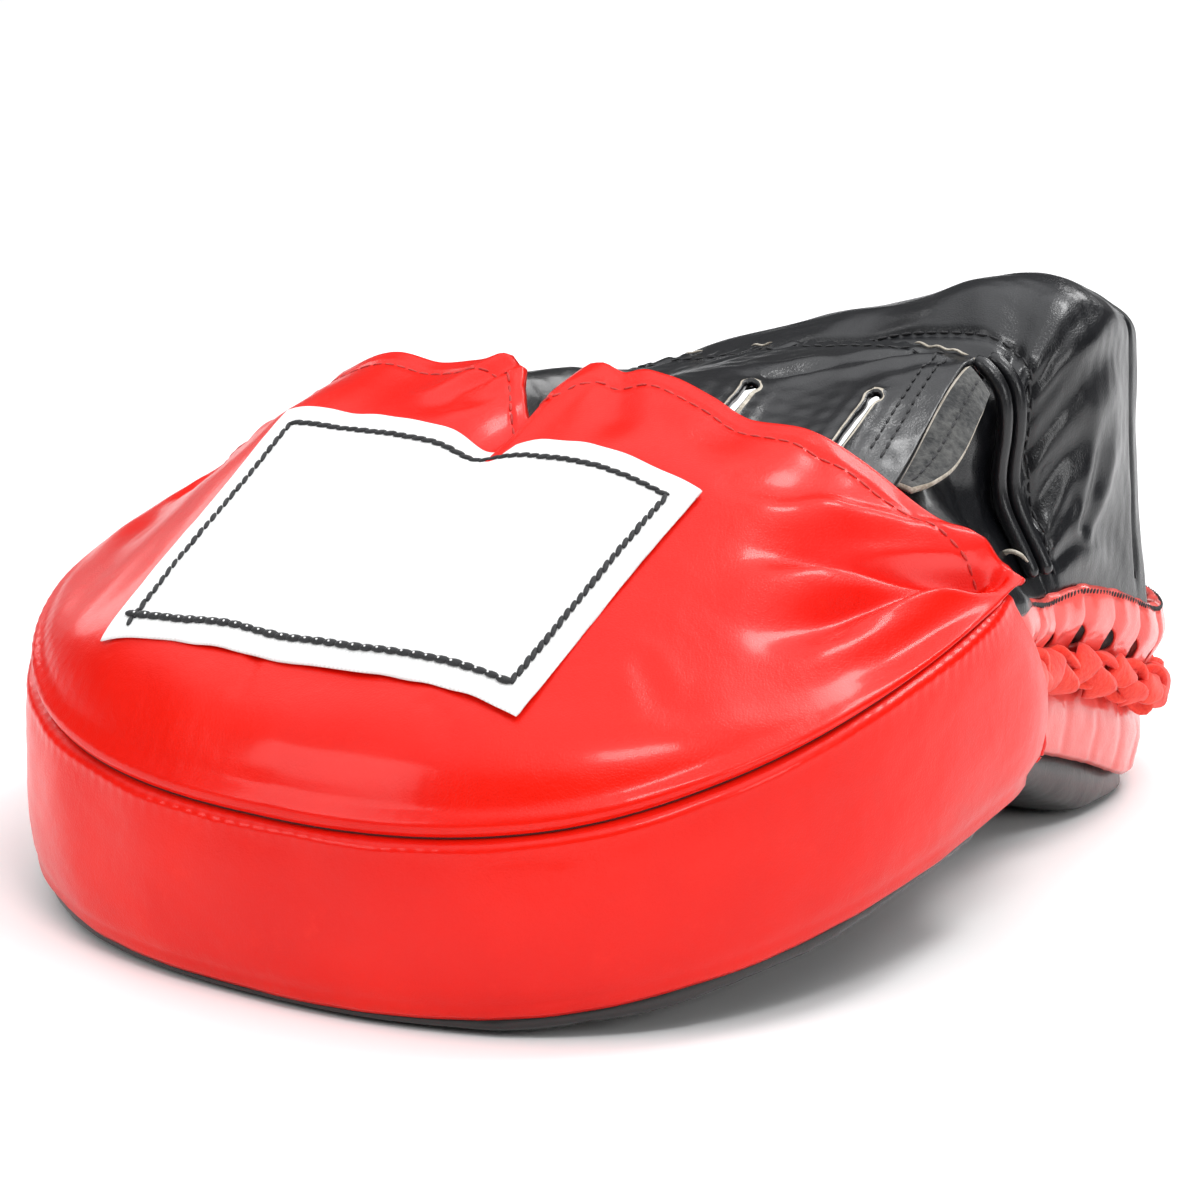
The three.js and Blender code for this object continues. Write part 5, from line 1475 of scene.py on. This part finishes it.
# Sewing
def sew():
    x = hood_columns(900)[40:-40]
    hem = [line_on(hood_surface, x, hood_edge_y(x) - HEM, 3.0, 0.12, trim=3)]
    ride(stitch("hood_hem_stitches", hem, 2.5, 0.62, 0.5, RED_THREAD))

    side = LABEL_WIDTH / 2 - LABEL_HEM
    rear = LABEL_REAR_Y - LABEL_HEM
    span = np.linspace(0, 1, 240)
    x = lerp(-LABEL_WIDTH / 2 + 2.5, side - 2.7, span)
    front = LABEL_FRONT_Y + LABEL_HEM + label_front(x) * 0.9
    bold = [line_on(label_surface, x, front, 2.7, 0.3)]
    # A small white dot of the label's weave material sits on the top of each front stitch
    dots = [line_on(label_surface, x[2:-2], front[2:-2], 2.7, 0.85)]
    fine = [line_on(label_surface, side - 2.7 * (1 - span), lerp(front[-1], rear, span), 2.3, 0.25),
            line_on(label_surface, lerp(-side, side, span), rear, 2.3, 0.25),
            line_on(label_surface, -side, lerp(LABEL_FRONT_Y + 2.5, rear, span), 2.3, 0.2)]
    ride(stitch("label_front_stitches", bold, 3.4, 1.75, 1.2, BLACK_THREAD, 0.12))
    ride(stitch("label_front_stitch_white_dots", dots, 0.5, 0.5, 0.3, LABEL))
    ride(stitch("label_side_stitches", fine, 3.1, 1.15, 0.9, BLACK_THREAD, 0.32))

    x = np.linspace(-57, 57, 700)
    rows = [line_on(panel_surface, x, PANEL_END_Y - PANEL_HEM - 1.2 * smooth(np.abs(x), 50, 60), 2.9, 0.3)]
    for inset in (4.6, 7.0):
        for side in (1, -1):
            edge = panel_point(side, np.linspace(0.34, 0.93, 300))
            rows.append(line_on(panel_surface, edge[:, 0] - side * inset, edge[:, 1], 2.9, 0.2))
    ride(stitch("panel_stitches", rows, 2.4, 0.6, 0.5, BLACK_THREAD))

    middle = line_on(strip_point, np.linspace(0.04, 0.96, 200), STRIP_WIDTH / 2, 2.7, 0.1, (50, 10, 80))
    ride(stitch("turned_seam_stitches", [middle], 2.2, 0.55, 0.45, BLACK_THREAD))

    surface, run, _, _ = heel_surface(False)
    top = line_on(surface, np.linspace(3, run - 3, 1500), 0.999, 1.5, 0.0, HEEL_INSIDE)
    ride(stitch("heel_top_overcast", [top], 1.3, 0.6, 0.5, BLACK_THREAD, 1.0))

    row = np.linspace(0.3, CUFF_ROWS - 1.3, 900)
    ends = [line_on(cuff_surface, row, back, 3.0, 0.15, CUFF_INSIDE) for back in (0.10, 0.90)]
    ride(stitch("cuff_edge_stitches", ends, 2.4, 0.6, 0.5, BLACK_THREAD))


sew()


# Thin dark tube at the bottom of the seam between the hood and its band: painted shade, standing in for the
# shadow in the seam's groove
def painted_seam_shade_line():
    x = hood_columns(700)[4:-4]
    y = seam_y(x)
    z = lift(x, y) + front_band_height(y) + 0.1
    place = np.column_stack([np.stack([x, y], -1) - seam_out(x) * 0.6, z])
    ride(tube("hood_seam_painted_shade", place, 0.34, [PAINTED_SEAM_SHADE], 8))


painted_seam_shade_line()


# Raw pale edge of the finger panel where it shows beside the cuff seam, and a loose end below
def raw_edges():
    spans = ((47, 60.5, 0.45, 1.3), (8, 13, 0.4, 1.0), (-8, -4, 0.4, 1.0), (-46, -40, 0.45, 1.2))
    for k, (first, last, radius, back) in enumerate(spans):
        x = np.linspace(first, last, 60)
        y = PANEL_END_Y - back - 0.2 * np.sin(x * 0.5) - 1.8 * smooth(np.abs(x), 50, 62)
        line = panel_surface(x, y)
        line[:, 2] += 0.5 + 0.1 * np.sin(x * 0.7)
        size = radius * smooth(np.minimum(x - first, last - x), -0.6, 1.2)
        ride(tube("panel_raw_edge_%d" % (k + 1), line, size, [CREAM], 10, 0.6))
    knots = ((74.6, 27.5, 66.2), (75.9, 26.4, 68.0), (77.9, 26.0, 68.8), (79.8, 26.3, 68.3), (81.0, 27.2, 66.9))
    curl = dense(knots, 10) - (1.6, 0, 0.3)
    share = np.linspace(0, 1, len(curl))
    size = 0.8 * smooth(share, -0.15, 0.2) * (1 - 0.5 * smooth(share, 0.7, 1))
    ride(tube("loose_raw_end", curl, size, [CREAM], 10, 0.6))


raw_edges()


# Floor and light
def floor():
    look = Finish("pale_floor")
    tone = look.blend(look.noise(2.0, 2.0), (0.94, 0.935, 0.93, 1), (0.96, 0.955, 0.95, 1))
    look.bump(look.noise(60.0, 2.0), 0.0001)
    surface = look.done(tone, 0.9, Specular_IOR_Level=0.2)
    wide, level = 6.0 / MM, -0.0005 / MM
    verts = [(-wide, -wide, level), (wide, -wide, level), (wide, wide, level), (-wide, wide, level)]
    as_object("studio_floor", verts, [(0, 1, 2, 3)], [surface], recalc=False)


def soft_light(name, place, aim, size, power):
    data = bpy.data.lights.new(name, "AREA")
    data.shape = "RECTANGLE"
    data.size, data.size_y = size
    data.energy = power
    lamp = in_scene(name, data)
    lamp.location = place
    towards = Vector(aim) - Vector(place)
    lamp.rotation_euler = towards.to_track_quat("-Z", "Y").to_euler()


floor()
soft_light("front_glow", (0.52, -0.50, 0.95), (0.06, -0.10, 0.055), (0.30, 0.14), 2.6)
soft_light("corner_glow", (0.38, 0.42, 1.02), (0.09, -0.05, 0.065), (0.24, 0.30), 4.0)
soft_light("side_glow", (-0.95, 0.34, 0.48), (-0.05, -0.10, 0.06), (0.30, 0.45), 1.6)
soft_light("front_softbox", (-0.55, -1.25, 0.75), (0, 0, 0.05), (0.8, 0.5), 5.2)
soft_light("right_softbox", (1.35, -0.25, 0.60), (0, 0, 0.05), (0.45, 0.5), 4.0)
soft_light("rear_softbox", (0.10, 1.10, 0.80), (0.03, 0.05, 0.10), (0.5, 0.2), 2.5)
bpy.context.scene.view_settings.view_transform = "Standard"


def sky():
    """White light from above, dim at the horizon, so that dark leather stays dark."""
    world = bpy.data.worlds.new("studio_world")
    world.use_nodes = True
    nodes, links = world.node_tree.nodes, world.node_tree.links
    ground = nodes["Background"]
    place, split, rise = (nodes.new("ShaderNode" + kind) for kind in ("TexCoord", "SeparateXYZ", "MapRange"))
    rise.interpolation_type = "SMOOTHSTEP"
    for key, value in (("From Min", 0.5), ("From Max", 0.9), ("To Min", 0.10), ("To Max", 1.75)):
        rise.inputs[key].default_value = value
    links.new(place.outputs["Generated"], split.inputs["Vector"])
    links.new(split.outputs["Z"], rise.inputs["Value"])
    links.new(rise.outputs["Result"], ground.inputs["Strength"])
    ground.inputs["Color"].default_value = (0.97, 0.98, 1, 1)
    bpy.context.scene.world = world


sky()
